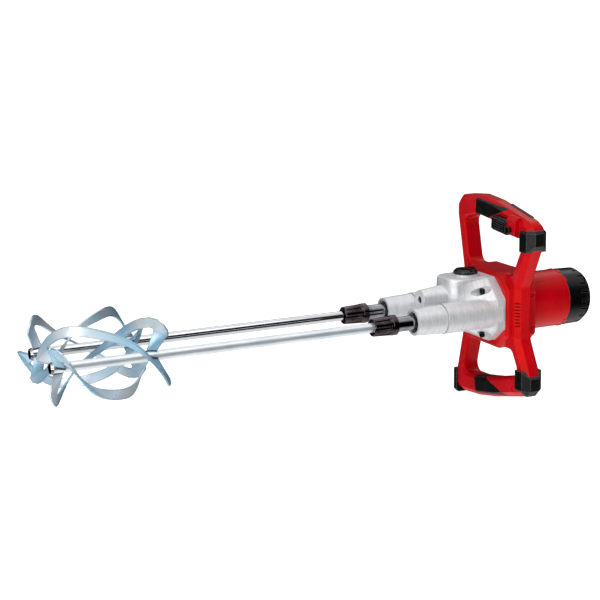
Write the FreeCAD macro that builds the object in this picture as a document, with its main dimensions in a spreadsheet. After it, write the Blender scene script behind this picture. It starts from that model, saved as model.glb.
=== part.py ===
import FreeCAD, Part
import math
import os
import re
import Sketcher

# Twin-shaft hand mixer. The origin is the middle of the flat rear face of the motor cap, on the motor axis.
# X runs forward along the shafts to the paddles, Z points up through the switch grip, Y to the near side.

# Driving dimensions in millimetres, degrees and counts
SIZES = {
    # Clearances
    "fit_gap": 0.05,
    "seat_gap": 0.1,
    "run_gap": 0.4,
    "face_gap": 0.3,
    # Motor housing and end cap
    "cap_length": 47,
    "cap_face_inset": 7.5,
    "cap_shoulder": 10,
    "cap_wall": 3,
    "cap_taper": 1,
    "cap_slot_count": 20,
    "cap_slot_width": 3.5,
    "cap_slot_length": 16,
    "cap_slot_start": 5,
    "housing_radius": 49.5,
    "housing_wall": 3.5,
    "web_thickness": 12,
    "web_setback": 3,
    # Handle frame
    "handle_x": 160,
    "hub_front": 33,
    "hub_rear": 28,
    "hub_top": 65,
    "bar_y": 76,
    "bar_width": 24,
    "bar_knee": 45,
    "frame_fore": 20,
    "frame_back": 13,
    "upper_far_y": 98,
    "upper_near_y": 114,
    "lower_far_y": 102,
    "lower_near_y": 105,
    "upper_far_z": 160,
    "upper_near_z": 141,
    "lower_far_z": 156,
    "lower_near_z": 120,
    "grip_height": 34,
    "upper_arch": 14,
    "lower_arch": 7,
    "arch_far_y": 40,
    "arch_near_y": 10,
    "opening_foot_y": 69,
    "edge_bevel": 8,
    "inner_round": 6,
    "corner_round": 14,
    "outer_round": 24,
    "hub_side": 76,
    "hub_shoulder": 40,
    "hub_crown": 46,
    "hub_bevel": 5,
    "vent_count": 8,
    "vent_pitch": 5.5,
    "vent_width": 2.5,
    # Rubber on the handle
    "pad_depth": 3,
    "pad_far_end": 45,
    "pad_near_end": 27,
    "pad_slant": 72,
    "pad_top": 12,
    "bumper_depth": 3,
    "bumper_near_length": 32,
    "bumper_far_length": 14,
    "bumper_height": 44,
    "bumper_bevel": 11,
    "bumper_drop": 7,
    # Switch, trigger and lock button
    "switch_length": 44,
    "switch_depth": 17,
    "switch_height": 14,
    "switch_front": 8,
    "switch_near_end": 68,
    "switch_drop": 9,
    "stem_radius": 3,
    "stem_depth": 9,
    "trigger_length": 42,
    "trigger_top": 2,
    "trigger_height": 25,
    "trigger_stand": 12,
    "trigger_sink": 4,
    "trigger_bevel": 4,
    "trigger_travel": 6,
    "trigger_near_end": 68,
    "button_radius": 5.5,
    "button_stand": 5,
    "button_sink": 8,
    "button_travel": 3,
    "button_y": 79,
    "button_drop": 15,
    "guard_stand": 9,
    "guard_near_end": 94,
    "guard_drop": 9,
    "guard_bevel": 6,
    # Gearbox case and cover
    "cover_spigot": 6,
    "cover_flange": 5,
    "case_wall": 3.5,
    "dome_width": 36,
    "dome_top": 58,
    "dome_under": 24,
    "dome_nose": 276,
    "nose_round": 26,
    "dome_draft": 2.5,
    "dome_crown": 5,
    "flange_thickness": 10,
    "flange_side": 73,
    "flange_side_z": 26,
    "flange_top_y": 38,
    "flange_bottom_y": 42,
    "flange_bottom": 50,
    "shoulder_end": 262,
    "shoulder_z": 18,
    "spindle_spacing": 103,
    "tube_radius": 25.3,
    "tube_end": 303,
    "neck_step": 0.8,
    "neck_rim_radius": 22,
    "neck_length": 55,
    "neck_groove": 2.5,
    "boss_root_radius": 22.5,
    "boss_radius": 16.5,
    "boss_end": 316,
    "boss_front_wall": 20,
    "plug_radius": 6,
    "plug_length": 8,
    "plug_sink": 2,
    "lug_y": 47,
    "lug_z": 37,
    "lug_radius": 8,
    "lug_end": 220,
    "screw_radius": 3,
    "screw_head_radius": 5,
    "screw_head_length": 5,
    "screw_socket_radius": 2.5,
    "screw_grip": 4,
    "driver_room": 1.5,
    # Selector
    "knob_x": 227,
    "knob_radius": 20,
    "knob_height": 7,
    "knob_ring_radius": 24.5,
    "knob_ring_height": 3,
    "knob_crown": 3,
    "knob_ridge": 6,
    "selector_radius": 5,
    "selector_depth": 12,
    # Gear train
    "counter_z": 24,
    "idler_y": 16.5,
    "motor_pinion_teeth": 9,
    "first_wheel_teeth": 39,
    "counter_pinion_teeth": 10,
    "second_wheel_teeth": 35,
    "idler_teeth": 22,
    "spindle_teeth": 26,
    "tooth_backlash": 0.16,
    "tooth_height": 0.8,
    "tooth_root": 1.1,
    "stage_gap": 3,
    "first_width": 12,
    "second_width": 14,
    "spindle_gear_width": 12,
    "gear_bore_radius": 5,
    "counter_front_radius": 4,
    "small_bearing_radius": 9.5,
    "small_bearing_width": 6,
    "motor_bearing_radius": 14,
    "motor_bearing_width": 8,
    "motor_shaft_radius": 6,
    "pinion_neck_radius": 3.3,
    "plate_thickness": 10,
    # Spindles, sleeves and rods
    "spindle_radius": 12.3,
    "spindle_tail_radius": 6,
    "spindle_body_radius": 8.5,
    "spindle_setback": 3,
    "spindle_chamfer": 1,
    "spindle_bearing_radius": 17.5,
    "spindle_bearing_width": 11,
    "tail_bearing_radius": 13,
    "tail_bearing_width": 8,
    "seal_width": 6,
    "seal_sink": 8,
    "sleeve_gap": 34,
    "sleeve_length": 43,
    "sleeve_radius": 16.2,
    "sleeve_front_radius": 14.8,
    "sleeve_rear_length": 9,
    "sleeve_rear_radius": 16.7,
    "sleeve_chamfer": 1.2,
    "sleeve_band": 4,
    "sleeve_groove_radius": 4,
    "sleeve_groove_depth": 2.4,
    "sleeve_groove_count": 8,
    "rod_radius": 8,
    "socket_depth": 34,
    # Paddles
    "paddle_length": 191,
    "paddle_front": 986,
    "paddle_radius": 60,
    "blade_width": 16,
    "blade_thickness": 3,
    "blade_count": 3,
    "blade_corner": 20,
    "blade_lean": 13,
    "blade_twist": 236,
    "end_twist": 0.49,
    "near_blade_start": 30,
    "far_blade_start": 30,
    "blade_steps": 18,
    "corner_steps": 4,
    "end_disc_radius": 10,
    "end_disc_thickness": 4,
    "tip_setback": 8,
    # Motor
    "stator_start": 88,
    "stator_length": 62,
    "stator_depth": 18,
    "rotor_gap": 0.8,
    "pole_half_width": 14,
    "pole_shoe": 4,
    "yoke_depth": 4,
    "coil_parting": 4,
    "coil_overhang": 9,
    "commutator_radius": 15,
    "commutator_start": 66,
    "commutator_length": 14,
    "brush_width": 8,
    "brush_height": 6,
    "brush_length": 16,
    "holder_wall": 2,
    "holder_gap": 2,
    "holder_inset": 4,
    "fan_inset": 6,
    "fan_start": 162,
    "fan_width": 14,
    "fan_blades": 9,
    "fan_plate": 2.5,
    "fan_hub_radius": 12,
    "fan_sweep": 8,
    # Inlet and handle screws
    "inlet_radius": 8,
    "inlet_y": 90,
    "inlet_length": 12,
    "inlet_bore": 4,
    "inlet_stand": 4,
    "handle_screw_radius": 2,
    "handle_screw_head": 4,
    "handle_screw_sink": 8,
    "handle_screw_cover": 4,
    "handle_screw_z": 28,
    "cap_screw_radius": 2,
    "cap_screw_head": 4,
    "cap_screw_sink": 1,
    "cap_screw_cover": 3,
    "cap_screw_y": 20,
}

doc = FreeCAD.newDocument("TwinMixer")
sheet = doc.addObject("Spreadsheet::Sheet", "Sizes")
for row, (alias, amount) in enumerate(SIZES.items(), start=1):
    sheet.set("A%d" % row, alias)
    sheet.set("B%d" % row, str(amount))
    sheet.setAlias("B%d" % row, alias)
doc.recompute()

NODES = {}
ALONG_X = FreeCAD.Rotation(FreeCAD.Vector(0, 1, 0), 90)
X_AXIS = FreeCAD.Vector(1, 0, 0)


# Helpers that tie shapes to the sheet
def size(name):
    """Number held by one cell of the sheet."""
    return float(sheet.get(name))


def formula(text):
    """Formula of size names written in the sheet's own terms."""
    def in_sheet(match):
        word = match.group(0)
        return "Sizes." + word if word in SIZES else word
    return re.sub(r"[a-z_]+", in_sheet, text)


def number(text):
    """Value of a formula of size names."""
    return float(sheet.evalExpression(formula(text)))


def bind(thing, formulas):
    """Tie properties of an object to formulas of size names."""
    for prop, text in formulas.items():
        thing.setExpression(prop, formula(text))
    return thing


def place(thing, x="0", y="0", z="0"):
    """Tie the position of an object to formulas of size names."""
    return bind(thing, {"Placement.Base.x": x, "Placement.Base.y": y, "Placement.Base.z": z})


def node(name, thing):
    """Register a finished sub-part under its own name."""
    thing.Label = name
    NODES[name] = thing
    return thing


def cylinder(name, radius, start, length, y="0", z="0"):
    """Cylinder along X."""
    part = doc.addObject("Part::Cylinder", name)
    part.Placement = FreeCAD.Placement(FreeCAD.Vector(), ALONG_X)
    bind(part, {"Radius": radius, "Height": length})
    return place(part, start, y, z)


def cone(name, rear_radius, front_radius, start, length, y="0", z="0"):
    """Tapered round bar along X."""
    part = doc.addObject("Part::Cone", name)
    part.Placement = FreeCAD.Placement(FreeCAD.Vector(), ALONG_X)
    bind(part, {"Radius1": rear_radius, "Radius2": front_radius, "Height": length})
    return place(part, start, y, z)


def block(name, low, lengths):
    """Box from its low corner and its three lengths."""
    part = doc.addObject("Part::Box", name)
    bind(part, {"Length": lengths[0], "Width": lengths[1], "Height": lengths[2]})
    return place(part, *low)


def fuse(name, shapes):
    """One solid from overlapping shapes."""
    part = doc.addObject("Part::MultiFuse", name)
    part.Shapes = shapes
    part.Refine = True
    return part


def cut(name, base, tool):
    """Base with the tool taken away."""
    part = doc.addObject("Part::Cut", name)
    part.Base = base
    part.Tool = tool
    return part


def common(name, shapes):
    """What all the shapes share."""
    part = doc.addObject("Part::MultiCommon", name)
    part.Shapes = shapes
    return part


def group(name, shapes):
    """Several separate solids kept together."""
    part = doc.addObject("Part::Compound", name)
    part.Links = shapes
    return part


def ring(name, outer, inner, start, length, y="0", z="0"):
    """Round ring along X."""
    tube = cylinder(name + "Outer", outer, start, length, y, z)
    bore = cylinder(name + "Inner", inner, start, length, y, z)
    return cut(name, tube, bore)


def origin_plane(body, role):
    """Plane or axis of a body's own origin."""
    for feature in body.Origin.OriginFeatures:
        if feature.Role == role:
            return feature


def attach(body, role, name, offset="0"):
    """Empty sketch on one of the body's own planes, moved along its normal."""
    sketch = body.newObject("Sketcher::SketchObject", name)
    sketch.AttachmentSupport = [(origin_plane(body, role), "")]
    sketch.MapMode = "FlatFace"
    bind(sketch, {"AttachmentOffset.Base.z": offset})
    return sketch


def polygon(sketch, corners):
    """Closed outline in a sketch, each corner at a pair of formulas."""
    first = sketch.GeometryCount
    points = [FreeCAD.Vector(number(u), number(v), 0) for u, v in corners]
    for index, point in enumerate(points):
        following = points[(index + 1) % len(points)]
        sketch.addGeometry(Part.LineSegment(point, following), False)
    for index in range(len(points)):
        following = first + (index + 1) % len(points)
        sketch.addConstraint(Sketcher.Constraint("Coincident", first + index, 2, following, 1))
    for index, corner in enumerate(corners):
        for kind, text in zip(("DistanceX", "DistanceY"), corner):
            mark = sketch.addConstraint(Sketcher.Constraint(kind, first + index, 1, number(text)))
            bind(sketch, {"Constraints[%d]" % mark: text})
    return sketch


def circle(sketch, radius, u, v):
    """Circle in a sketch at a pair of formulas."""
    mark = sketch.GeometryCount
    centre = FreeCAD.Vector(number(u), number(v), 0)
    sketch.addGeometry(Part.Circle(centre, FreeCAD.Vector(0, 0, 1), number(radius)), False)
    for kind, ends, text in (("Radius", (mark,), radius), ("DistanceX", (mark, 3), u),
                             ("DistanceY", (mark, 3), v)):
        index = sketch.addConstraint(Sketcher.Constraint(kind, *ends, number(text)))
        bind(sketch, {"Constraints[%d]" % index: text})
    return sketch


def turned(name, profile, y="0", z="0"):
    """Body turned about an axis along X from a profile of station and radius pairs."""
    body = doc.addObject("PartDesign::Body", name)
    sketch = polygon(attach(body, "XZ_Plane", name + "Profile"), profile)
    turn = body.newObject("PartDesign::Revolution", name + "Turn")
    turn.Profile = sketch
    turn.ReferenceAxis = (sketch, ["H_Axis"])
    turn.Angle = 360
    return place(body, "0", y, z)


def pad(body, sketch, name, length, taper="0"):
    """Pad of a sketch along its normal."""
    feature = body.newObject("PartDesign::Pad", name)
    feature.Profile = sketch
    bind(feature, {"Length": length, "TaperAngle": taper})
    return feature


def spread(body, feature, name, count):
    """Copies of a feature spaced evenly round the body's X axis."""
    pattern = body.newObject("PartDesign::PolarPattern", name)
    pattern.Originals = [feature]
    pattern.Axis = (origin_plane(body, "X_Axis"), [""])
    pattern.Angle = 360
    bind(pattern, {"Occurrences": count})
    body.Tip = pattern
    return pattern


def feature(name, shape):
    """Shape worked out in code from the sheet."""
    part = doc.addObject("Part::Feature", name)
    part.Shape = shape
    part.Placement = FreeCAD.Placement()
    return part


# Stations along X and shaft places, as formulas
HUB_FRONT = "(handle_x + hub_front)"
HUB_REAR = "(handle_x - hub_rear)"
CASE_START = "(handle_x + hub_front + cover_flange)"
FIRST_START = "(%s + stage_gap)" % CASE_START
SECOND_START = "(%s + first_width + stage_gap)" % FIRST_START
PLATE_START = "(%s + second_width + stage_gap)" % SECOND_START
MESH_START = "(%s + plate_thickness + stage_gap)" % PLATE_START
MESH_END = "(%s + spindle_gear_width)" % MESH_START
NOSE_WALL = "(%s + stage_gap)" % MESH_END
HALF_SPACING = "(spindle_spacing / 2)"
MESH_MODULE = "(2 * idler_y / idler_teeth)"
MESH_CENTRES = "((idler_teeth + spindle_teeth) * %s / 2)" % MESH_MODULE
IDLER_DROP = "sqrt(%s ^ 2 - (%s - idler_y) ^ 2)" % (MESH_CENTRES, HALF_SPACING)
NECK_END = "(tube_end + neck_length)"
SLEEVE_START = "(%s + sleeve_gap)" % NECK_END
SEAL_START = "(%s - seal_width - seal_sink)" % NECK_END
FRONT_BEARING = "(%s - spindle_bearing_width - 2)" % SEAL_START
SOCKET_START = "(%s + sleeve_length - socket_depth)" % SLEEVE_START
PADDLE_REAR = "(paddle_front - paddle_length)"
BLADE_FRONT = "(paddle_front - blade_thickness / 2)"
FRAME_FRONT = "(handle_x + frame_fore)"
FRAME_REAR = "(handle_x - frame_back)"
FRAME_DEPTH = "(frame_fore + frame_back)"
INNER = "(housing_radius - housing_wall)"
SIDES = {"near": "", "far": "-"}
LEVELS = {"upper": "", "lower": "-"}


def grip_slope(level):
    """Fall of a grip's middle line towards the near side."""
    return "(({0}_far_z - {0}_near_z) / ({0}_far_y + {0}_near_y))".format(level)


def grip_middle(level):
    """Distance of a grip's middle line from the motor axis, half way across the frame."""
    return "({0}_far_z - {0}_far_y * {1})".format(level, grip_slope(level))


def grip_rise(level):
    """Half the height of a sloping grip, measured upright."""
    return "(grip_height / 2 * sqrt(1 + %s ^ 2))" % grip_slope(level)


def grip_line(level, y, shift="0"):
    """Distance from the motor axis of a line along a grip, at a place across the frame."""
    return "(%s - %s * (%s) + %s)" % (grip_middle(level), grip_slope(level), y, shift)


# Handle frame: one closed form first, later parted into shells, pads and bumpers, with arched grips
def corner_edge(level, side, sign):
    """Outer (+) or inner (-) edge of a leg where it meets a grip."""
    return "%s(%s_%s_y %s bar_width / 2)" % (SIDES[side], level, side, sign)


def half_outline(level):
    """Outer edge of the frame from the near leg over one grip to the far leg."""
    near = corner_edge(level, "near", "+")
    far = corner_edge(level, "far", "+")
    bar = "(bar_y + bar_width / 2)"
    rise = grip_rise(level)
    under = "-(%s)" % rise
    arch = "%s + %s_arch" % (rise, level)
    return [
        (bar, "bar_knee"),
        (near, grip_line(level, near, under)),
        (near, grip_line(level, near, rise)),
        ("arch_near_y", grip_line(level, "arch_near_y", arch)),
        ("-arch_far_y", grip_line(level, "-arch_far_y", arch)),
        (far, grip_line(level, far, rise)),
        (far, grip_line(level, far, under)),
        ("-" + bar, "bar_knee"),
    ]


def frame_outline():
    """Whole outer edge of the handle frame."""
    lower = [(y, "-(%s)" % z) for y, z in reversed(half_outline("lower"))]
    return half_outline("upper") + lower


def hand_gap(level):
    """Opening between a grip and the hub."""
    near = corner_edge(level, "near", "-")
    far = corner_edge(level, "far", "-")
    under = "-(%s)" % grip_rise(level)
    arch = "%s_arch - (%s)" % (level, grip_rise(level))
    corners = [
        ("opening_foot_y", "hub_top"),
        (near, grip_line(level, near, under)),
        ("arch_near_y", grip_line(level, "arch_near_y", arch)),
        ("-arch_far_y", grip_line(level, "-arch_far_y", arch)),
        (far, grip_line(level, far, under)),
        ("-opening_foot_y", "hub_top"),
    ]
    return [(y, "%s(%s)" % (LEVELS[level], z)) for y, z in corners]


def edges_along_x(shape, wanted):
    """Names of straight edges that run along X through wanted points across the frame."""
    names = []
    for index, edge in enumerate(shape.Edges, start=1):
        direction = edge.Vertexes[-1].Point - edge.Vertexes[0].Point
        if abs(direction.y) + abs(direction.z) < 1e-6:
            middle = edge.CenterOfMass
            if any(abs(middle.y - y) + abs(middle.z - z) < 1e-4 for y, z in wanted):
                names.append("Edge%d" % index)
    return names


def edges_at_x(shape, station, inside):
    """Names of edges in the plane x = station, inside or outside the middle band of a frame."""
    names = []
    for index, edge in enumerate(shape.Edges, start=1):
        if all(abs(vertex.X - station) < 1e-6 for vertex in edge.Vertexes):
            if inside(edge.CenterOfMass):
                names.append("Edge%d" % index)
    return names


def level_of(point):
    """Grip that a point of the frame belongs to."""
    return "upper" if point.z > 0 else "lower"


def leg_middle(point):
    """Distance of a leg's middle line from the motor axis at a point's height."""
    corner = "%s_%s_" % (level_of(point), "near" if point.y > 0 else "far")
    rise = size(corner + "z") - size("bar_knee")
    share = min(max((abs(point.z) - size("bar_knee")) / rise, 0), 1)
    return size("bar_y") + share * (size(corner + "y") - size("bar_y"))


def grip_height_at(point):
    """Distance of a grip's middle line from the motor axis beside a point."""
    level = level_of(point)
    return number(grip_middle(level)) - number(grip_slope(level)) * point.y


def on_outer_edge(point):
    """True for points on the outer rim of the frame, false for those round a hand gap."""
    beside = abs(point.y) > number("opening_foot_y + corner_round / 2")
    beyond_leg = beside and abs(point.y) > leg_middle(point)
    return beyond_leg or abs(point.z) > grip_height_at(point)


def frame_rim(shape, wanted_outer):
    """Edges of the two flat faces of the frame, on the outer rim or round the openings."""
    names = []
    for station in (number(FRAME_REAR), number(FRAME_FRONT)):
        names += edges_at_x(shape, station, lambda point: on_outer_edge(point) == wanted_outer)
    return names


def is_grip_corner(point):
    """True for points on the four outermost corners of the frame."""
    side = "near" if point.y > 0 else "far"
    outer = number(corner_edge(level_of(point), side, "+"))
    return abs(point.y - outer) < 1e-4 and abs(point.z) > grip_height_at(point)


def build_frame():
    """Closed form of the handle frame with its bevelled rim and rounded hand gaps."""
    body = doc.addObject("PartDesign::Body", "FrameForm")
    sketch = attach(body, "YZ_Plane", "FrameOutline", FRAME_REAR)
    polygon(sketch, frame_outline())
    for level in LEVELS:
        polygon(sketch, hand_gap(level))
    plate = pad(body, sketch, "FramePad", FRAME_DEPTH)
    doc.recompute()
    points = [edge.CenterOfMass for edge in plate.Shape.Edges]
    outer = [point for point in points if is_grip_corner(point)]
    others = [point for point in points if not is_grip_corner(point)]
    bends = body.newObject("PartDesign::Fillet", "FrameBends")
    bends.Base = (plate, edges_along_x(plate.Shape, [(point.y, point.z) for point in outer]))
    bind(bends, {"Radius": "outer_round"})
    doc.recompute()
    corners = body.newObject("PartDesign::Fillet", "FrameCorners")
    corners.Base = (bends, edges_along_x(bends.Shape, [(point.y, point.z) for point in others]))
    bind(corners, {"Radius": "corner_round"})
    doc.recompute()
    bevel = body.newObject("PartDesign::Chamfer", "FrameBevel")
    bevel.Base = (corners, frame_rim(corners.Shape, True))
    bind(bevel, {"Size": "edge_bevel"})
    doc.recompute()
    inner = body.newObject("PartDesign::Fillet", "FrameInner")
    inner.Base = (bevel, frame_rim(bevel.Shape, False))
    bind(inner, {"Radius": "inner_round"})
    doc.recompute()
    return body


frame_form = build_frame()


# Handle shells, pads, bumpers and what the grips hold
POCKET_FLOOR = "(handle_x + switch_front)"
TRIGGER_REAR = "(%s - trigger_sink)" % FRAME_FRONT
GUARD_FRONT = "(%s + guard_stand)" % FRAME_FRONT


def on_grip(thing, level="upper"):
    """Set an object on a grip's middle line, turned with the grip."""
    turn = {"upper": "-", "lower": ""}[level]
    thing.Placement = FreeCAD.Placement(FreeCAD.Vector(), FreeCAD.Rotation(X_AXIS, 1))
    bind(thing, {"Placement.Rotation.Angle": "%satan(%s)" % (turn, grip_slope(level))})
    return place(thing, "0", "0", "%s(%s + %s_arch)" % (LEVELS[level], grip_middle(level), level))


def edges_along_y(shape):
    """Names of straight edges that run along Y."""
    names = []
    for index, edge in enumerate(shape.Edges, start=1):
        direction = edge.Vertexes[-1].Point - edge.Vertexes[0].Point
        if abs(direction.x) + abs(direction.z) < 1e-6:
            names.append("Edge%d" % index)
    return names


def grip_block(name, low, lengths, bevel=None, level="upper", slant="0"):
    """Block in a grip's own directions, its long edges bevelled or its near end slanted where asked."""
    body = doc.addObject("PartDesign::Body", name)
    right = "(%s + %s)" % (low[1], lengths[1])
    top = "(%s + %s)" % (low[2], lengths[2])
    sketch = attach(body, "YZ_Plane", name + "Outline", low[0])
    foot = "%s - %s" % (right, slant)
    head = "%s + %s" % (right, slant)
    polygon(sketch, [(low[1], low[2]), (foot, low[2]), (head, top), (low[1], top)])
    solid = pad(body, sketch, name + "Pad", lengths[0])
    if bevel:
        doc.recompute()
        edge = body.newObject("PartDesign::Chamfer", name + "Bevel")
        edge.Base = (solid, edges_along_y(solid.Shape))
        bind(edge, {"Size": bevel})
    return on_grip(body, level)


def grip_round(name, radius, start, length, y, z):
    """Round bar along X in the upper grip's own directions."""
    body = doc.addObject("PartDesign::Body", name)
    sketch = circle(attach(body, "YZ_Plane", name + "Outline", start), radius, y, z)
    pad(body, sketch, name + "Pad", length)
    return on_grip(body)


def build_hub():
    """Closed form of the hub that carries the motor, with bevelled ends."""
    body = doc.addObject("PartDesign::Body", "HubForm")
    quarter = [("hub_side", "hub_shoulder"), ("hub_crown", "hub_top")]
    upper = quarter + [("-" + y, z) for y, z in reversed(quarter)]
    lower = [(y, "-" + z) for y, z in reversed(upper)]
    sketch = polygon(attach(body, "YZ_Plane", "HubOutline", HUB_REAR), upper + lower)
    solid = pad(body, sketch, "HubPad", "hub_front + hub_rear")
    doc.recompute()
    edge = body.newObject("PartDesign::Chamfer", "HubBevel")
    names = []
    for station in (number(HUB_REAR), number(HUB_FRONT)):
        names += edges_at_x(solid.Shape, station, lambda point: True)
    edge.Base = (solid, names)
    bind(edge, {"Size": "hub_bevel"})
    return body


def pad_tools(level):
    """Stretch of a grip that its rubber covers, and the core that stays inside."""
    word = level.capitalize()
    foot = "(grip_height / 2 + pad_depth)"
    reach = "(%s + pad_top)" % foot
    low_z = {"upper": "-" + foot, "lower": "-pad_top"}[level]
    fall = "(%spad_slant / grip_height)" % LEVELS[level]
    near_end = "(pad_near_end - (%s - pad_top) / 2 * pad_slant / grip_height)" % foot
    slab = grip_block(word + "PadStretch", (FRAME_REAR + " - pad_depth", "-pad_far_end", low_z),
                      (FRAME_DEPTH + " + 2 * pad_depth", "pad_far_end + %s" % near_end, reach),
                      level=level, slant="(%s * %s / 2)" % (fall, reach))
    half = "(grip_height / 2 - pad_depth)"
    core = grip_block(word + "PadCore", (FRAME_REAR + " + pad_depth", "-(pad_far_end + pad_depth)",
                                         "-" + half),
                      (FRAME_DEPTH + " - 2 * pad_depth",
                       "pad_far_end + pad_near_end + pad_depth + pad_slant", "2 * " + half),
                      bevel="edge_bevel - pad_depth / 2", level=level)
    return slab, core


def corner_bumper(side, level):
    """Rubber cap over one outer corner of the frame."""
    name = "Bumper" + side.capitalize() + level.capitalize()
    length = "bumper_%s_length" % side
    outer = "(%s_%s_y + bar_width / 2 + bumper_depth)" % (level, side)
    corner = corner_edge(level, side, "+")
    lift = {"upper": "-bumper_drop", "lower": "0"}[level]
    top = "(%s + bumper_depth + %s)" % (grip_line(level, corner, grip_rise(level)), lift)
    low_y = "%s - %s" % (outer, length) if side == "near" else "-" + outer
    low_z = "%s - bumper_height" % top if level == "upper" else "-" + top
    body = doc.addObject("PartDesign::Body", name + "Form")
    sketch = attach(body, "YZ_Plane", name + "Outline", FRAME_REAR + " - bumper_depth")
    high_y = "(%s) + %s" % (low_y, length)
    high_z = "(%s) + bumper_height" % low_z
    polygon(sketch, [(low_y, low_z), (high_y, low_z), (high_y, high_z), (low_y, high_z)])
    hidden = side == "far" and level == "upper"
    depth = "frame_back + bumper_depth" if hidden else FRAME_DEPTH + " + 2 * bumper_depth"
    solid = pad(body, sketch, name + "Pad", depth)
    doc.recompute()
    edge_y = number(outer) * (1 if side == "near" else -1)
    edge_z = number(top) * (1 if level == "upper" else -1)
    names = []
    for index, edge in enumerate(solid.Shape.Edges, start=1):
        middle = edge.CenterOfMass
        at_side = abs(middle.y - edge_y) < 1e-6
        at_top = abs(middle.z - edge_z) < 1e-6
        at_root = abs(abs(middle.y - edge_y) - size(length)) < 1e-6
        if at_side or at_top and not at_root:
            names.append("Edge%d" % index)
    bevel = body.newObject("PartDesign::Chamfer", name + "Bevel")
    bevel.Base = (solid, names)
    bind(bevel, {"Size": {"near": "bumper_bevel", "far": "bumper_bevel / 2"}[side]})
    return cut(name, body, frame_form)


hub_form = build_hub()
handle_form = fuse("HandleForm", [frame_form, hub_form])
motor_bore = cylinder("MotorBore", "housing_radius + seat_gap", HUB_REAR + " - 1",
                      "hub_front + hub_rear + 2")
pad_stretches = []
for level in LEVELS:
    stretch, core = pad_tools(level)
    covered = common(level.capitalize() + "Covered", [frame_form, stretch])
    node(level + "_grip_pad", cut(level.capitalize() + "GripPad", covered, core))
    pad_stretches.append(cut(level.capitalize() + "PadRoom", stretch, core))

for side in SIDES:
    for level in LEVELS:
        node("%s_%s_bumper" % (level, side), corner_bumper(side, level))

switch_low = (POCKET_FLOOR + " - switch_depth", "switch_near_end - switch_length",
              "-switch_drop - switch_height / 2")
switch_block = grip_block("SwitchBlock", switch_low, ("switch_depth", "switch_length", "switch_height"))
switch_room = grip_block("SwitchRoom", tuple("%s - seat_gap" % text for text in switch_low),
                         ("switch_depth + seat_gap", "switch_length + 2 * seat_gap",
                          "switch_height + 2 * seat_gap"))
STEM_Y = "(switch_near_end - switch_length / 2)"
stem_bore = grip_round("StemBore", "stem_radius + fit_gap", POCKET_FLOOR + " - stem_depth", "stem_depth",
                       STEM_Y, "-switch_drop")
node("switch_body", cut("SwitchBody", switch_block, stem_bore))

trigger_low = (TRIGGER_REAR, "trigger_near_end - trigger_length", "-trigger_top - trigger_height")
trigger_block = grip_block("TriggerBlock", trigger_low,
                           ("trigger_sink + trigger_stand", "trigger_length", "trigger_height"),
                           bevel="trigger_bevel")
STEM_REACH = "(stem_depth - trigger_travel - 1)"
trigger_stem = grip_round("TriggerStem", "stem_radius", "%s - %s" % (POCKET_FLOOR, STEM_REACH),
                          "%s + %s - %s + 1" % (STEM_REACH, TRIGGER_REAR, POCKET_FLOOR), STEM_Y,
                          "-switch_drop")
node("trigger", fuse("Trigger", [trigger_block, trigger_stem]))
trigger_pocket = grip_block("TriggerPocket",
                            (POCKET_FLOOR, "trigger_near_end - trigger_length - run_gap",
                             "-trigger_top - trigger_height - run_gap"),
                            (FRAME_DEPTH, "trigger_length + 2 * run_gap", "trigger_height + 2 * run_gap"))

BUTTON_REAR = "(%s - button_sink)" % GUARD_FRONT
guard = grip_block("SwitchGuard", (FRAME_FRONT + " - edge_bevel", "trigger_near_end + run_gap",
                                   "-guard_drop - grip_height / 2"),
                   ("guard_stand + edge_bevel", "guard_near_end - trigger_near_end - run_gap",
                    "grip_height"),
                   bevel="guard_bevel")
node("lock_button", grip_round("LockButton", "button_radius", BUTTON_REAR, "button_sink + button_stand",
                               "button_y", "-button_drop"))
button_hole = grip_round("ButtonHole", "button_radius + fit_gap", BUTTON_REAR + " - button_travel - 1",
                         "button_sink + button_travel + 2", "button_y", "-button_drop")

INLET_START = "(%s - inlet_stand)" % FRAME_REAR
inlet_place = ("-inlet_y", grip_line("upper", "-inlet_y"))
node("cord_inlet", ring("CordInlet", "inlet_radius", "inlet_bore", INLET_START, "inlet_length",
                        *inlet_place))
inlet_hole = cylinder("InletHole", "inlet_radius + fit_gap", INLET_START, "inlet_length + face_gap",
                      *inlet_place)

HEAD_SEAT = "(%s + handle_screw_sink)" % FRAME_REAR
SCREW_END = "(%s - handle_screw_cover)" % FRAME_FRONT
handle_screws = []
handle_holes = []
for side, sign_y in SIDES.items():
    for level, sign_z in LEVELS.items():
        name = "HandleScrew" + side.capitalize() + level.capitalize()
        spot = (sign_y + "bar_y", sign_z + "handle_screw_z")
        head = cylinder(name + "Head", "handle_screw_head", HEAD_SEAT + " - handle_screw_head",
                        "handle_screw_head", *spot)
        shank = cylinder(name + "Shank", "handle_screw_radius", HEAD_SEAT,
                         "%s - %s" % (SCREW_END, HEAD_SEAT), *spot)
        handle_screws.append(fuse(name, [head, shank]))
        handle_holes.append(cylinder(name + "Recess", "handle_screw_head + seat_gap", HUB_REAR + " - 1",
                                     "%s - %s + 1" % (HEAD_SEAT, HUB_REAR), *spot))
        handle_holes.append(cylinder(name + "Hole", "handle_screw_radius + fit_gap", HEAD_SEAT,
                                     "%s - %s + face_gap" % (SCREW_END, HEAD_SEAT), *spot))
node("handle_screws", group("HandleScrews", handle_screws))

vents = []
for index in range(int(size("vent_count"))):
    vent_low = (FRAME_FRONT + " - edge_bevel", "bar_y + bar_width / 2 - edge_bevel",
                "(%d - vent_count / 2) * vent_pitch" % index)
    vents.append(block("BarVent%d" % index, vent_low, ("edge_bevel", "edge_bevel", "vent_width")))

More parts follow.
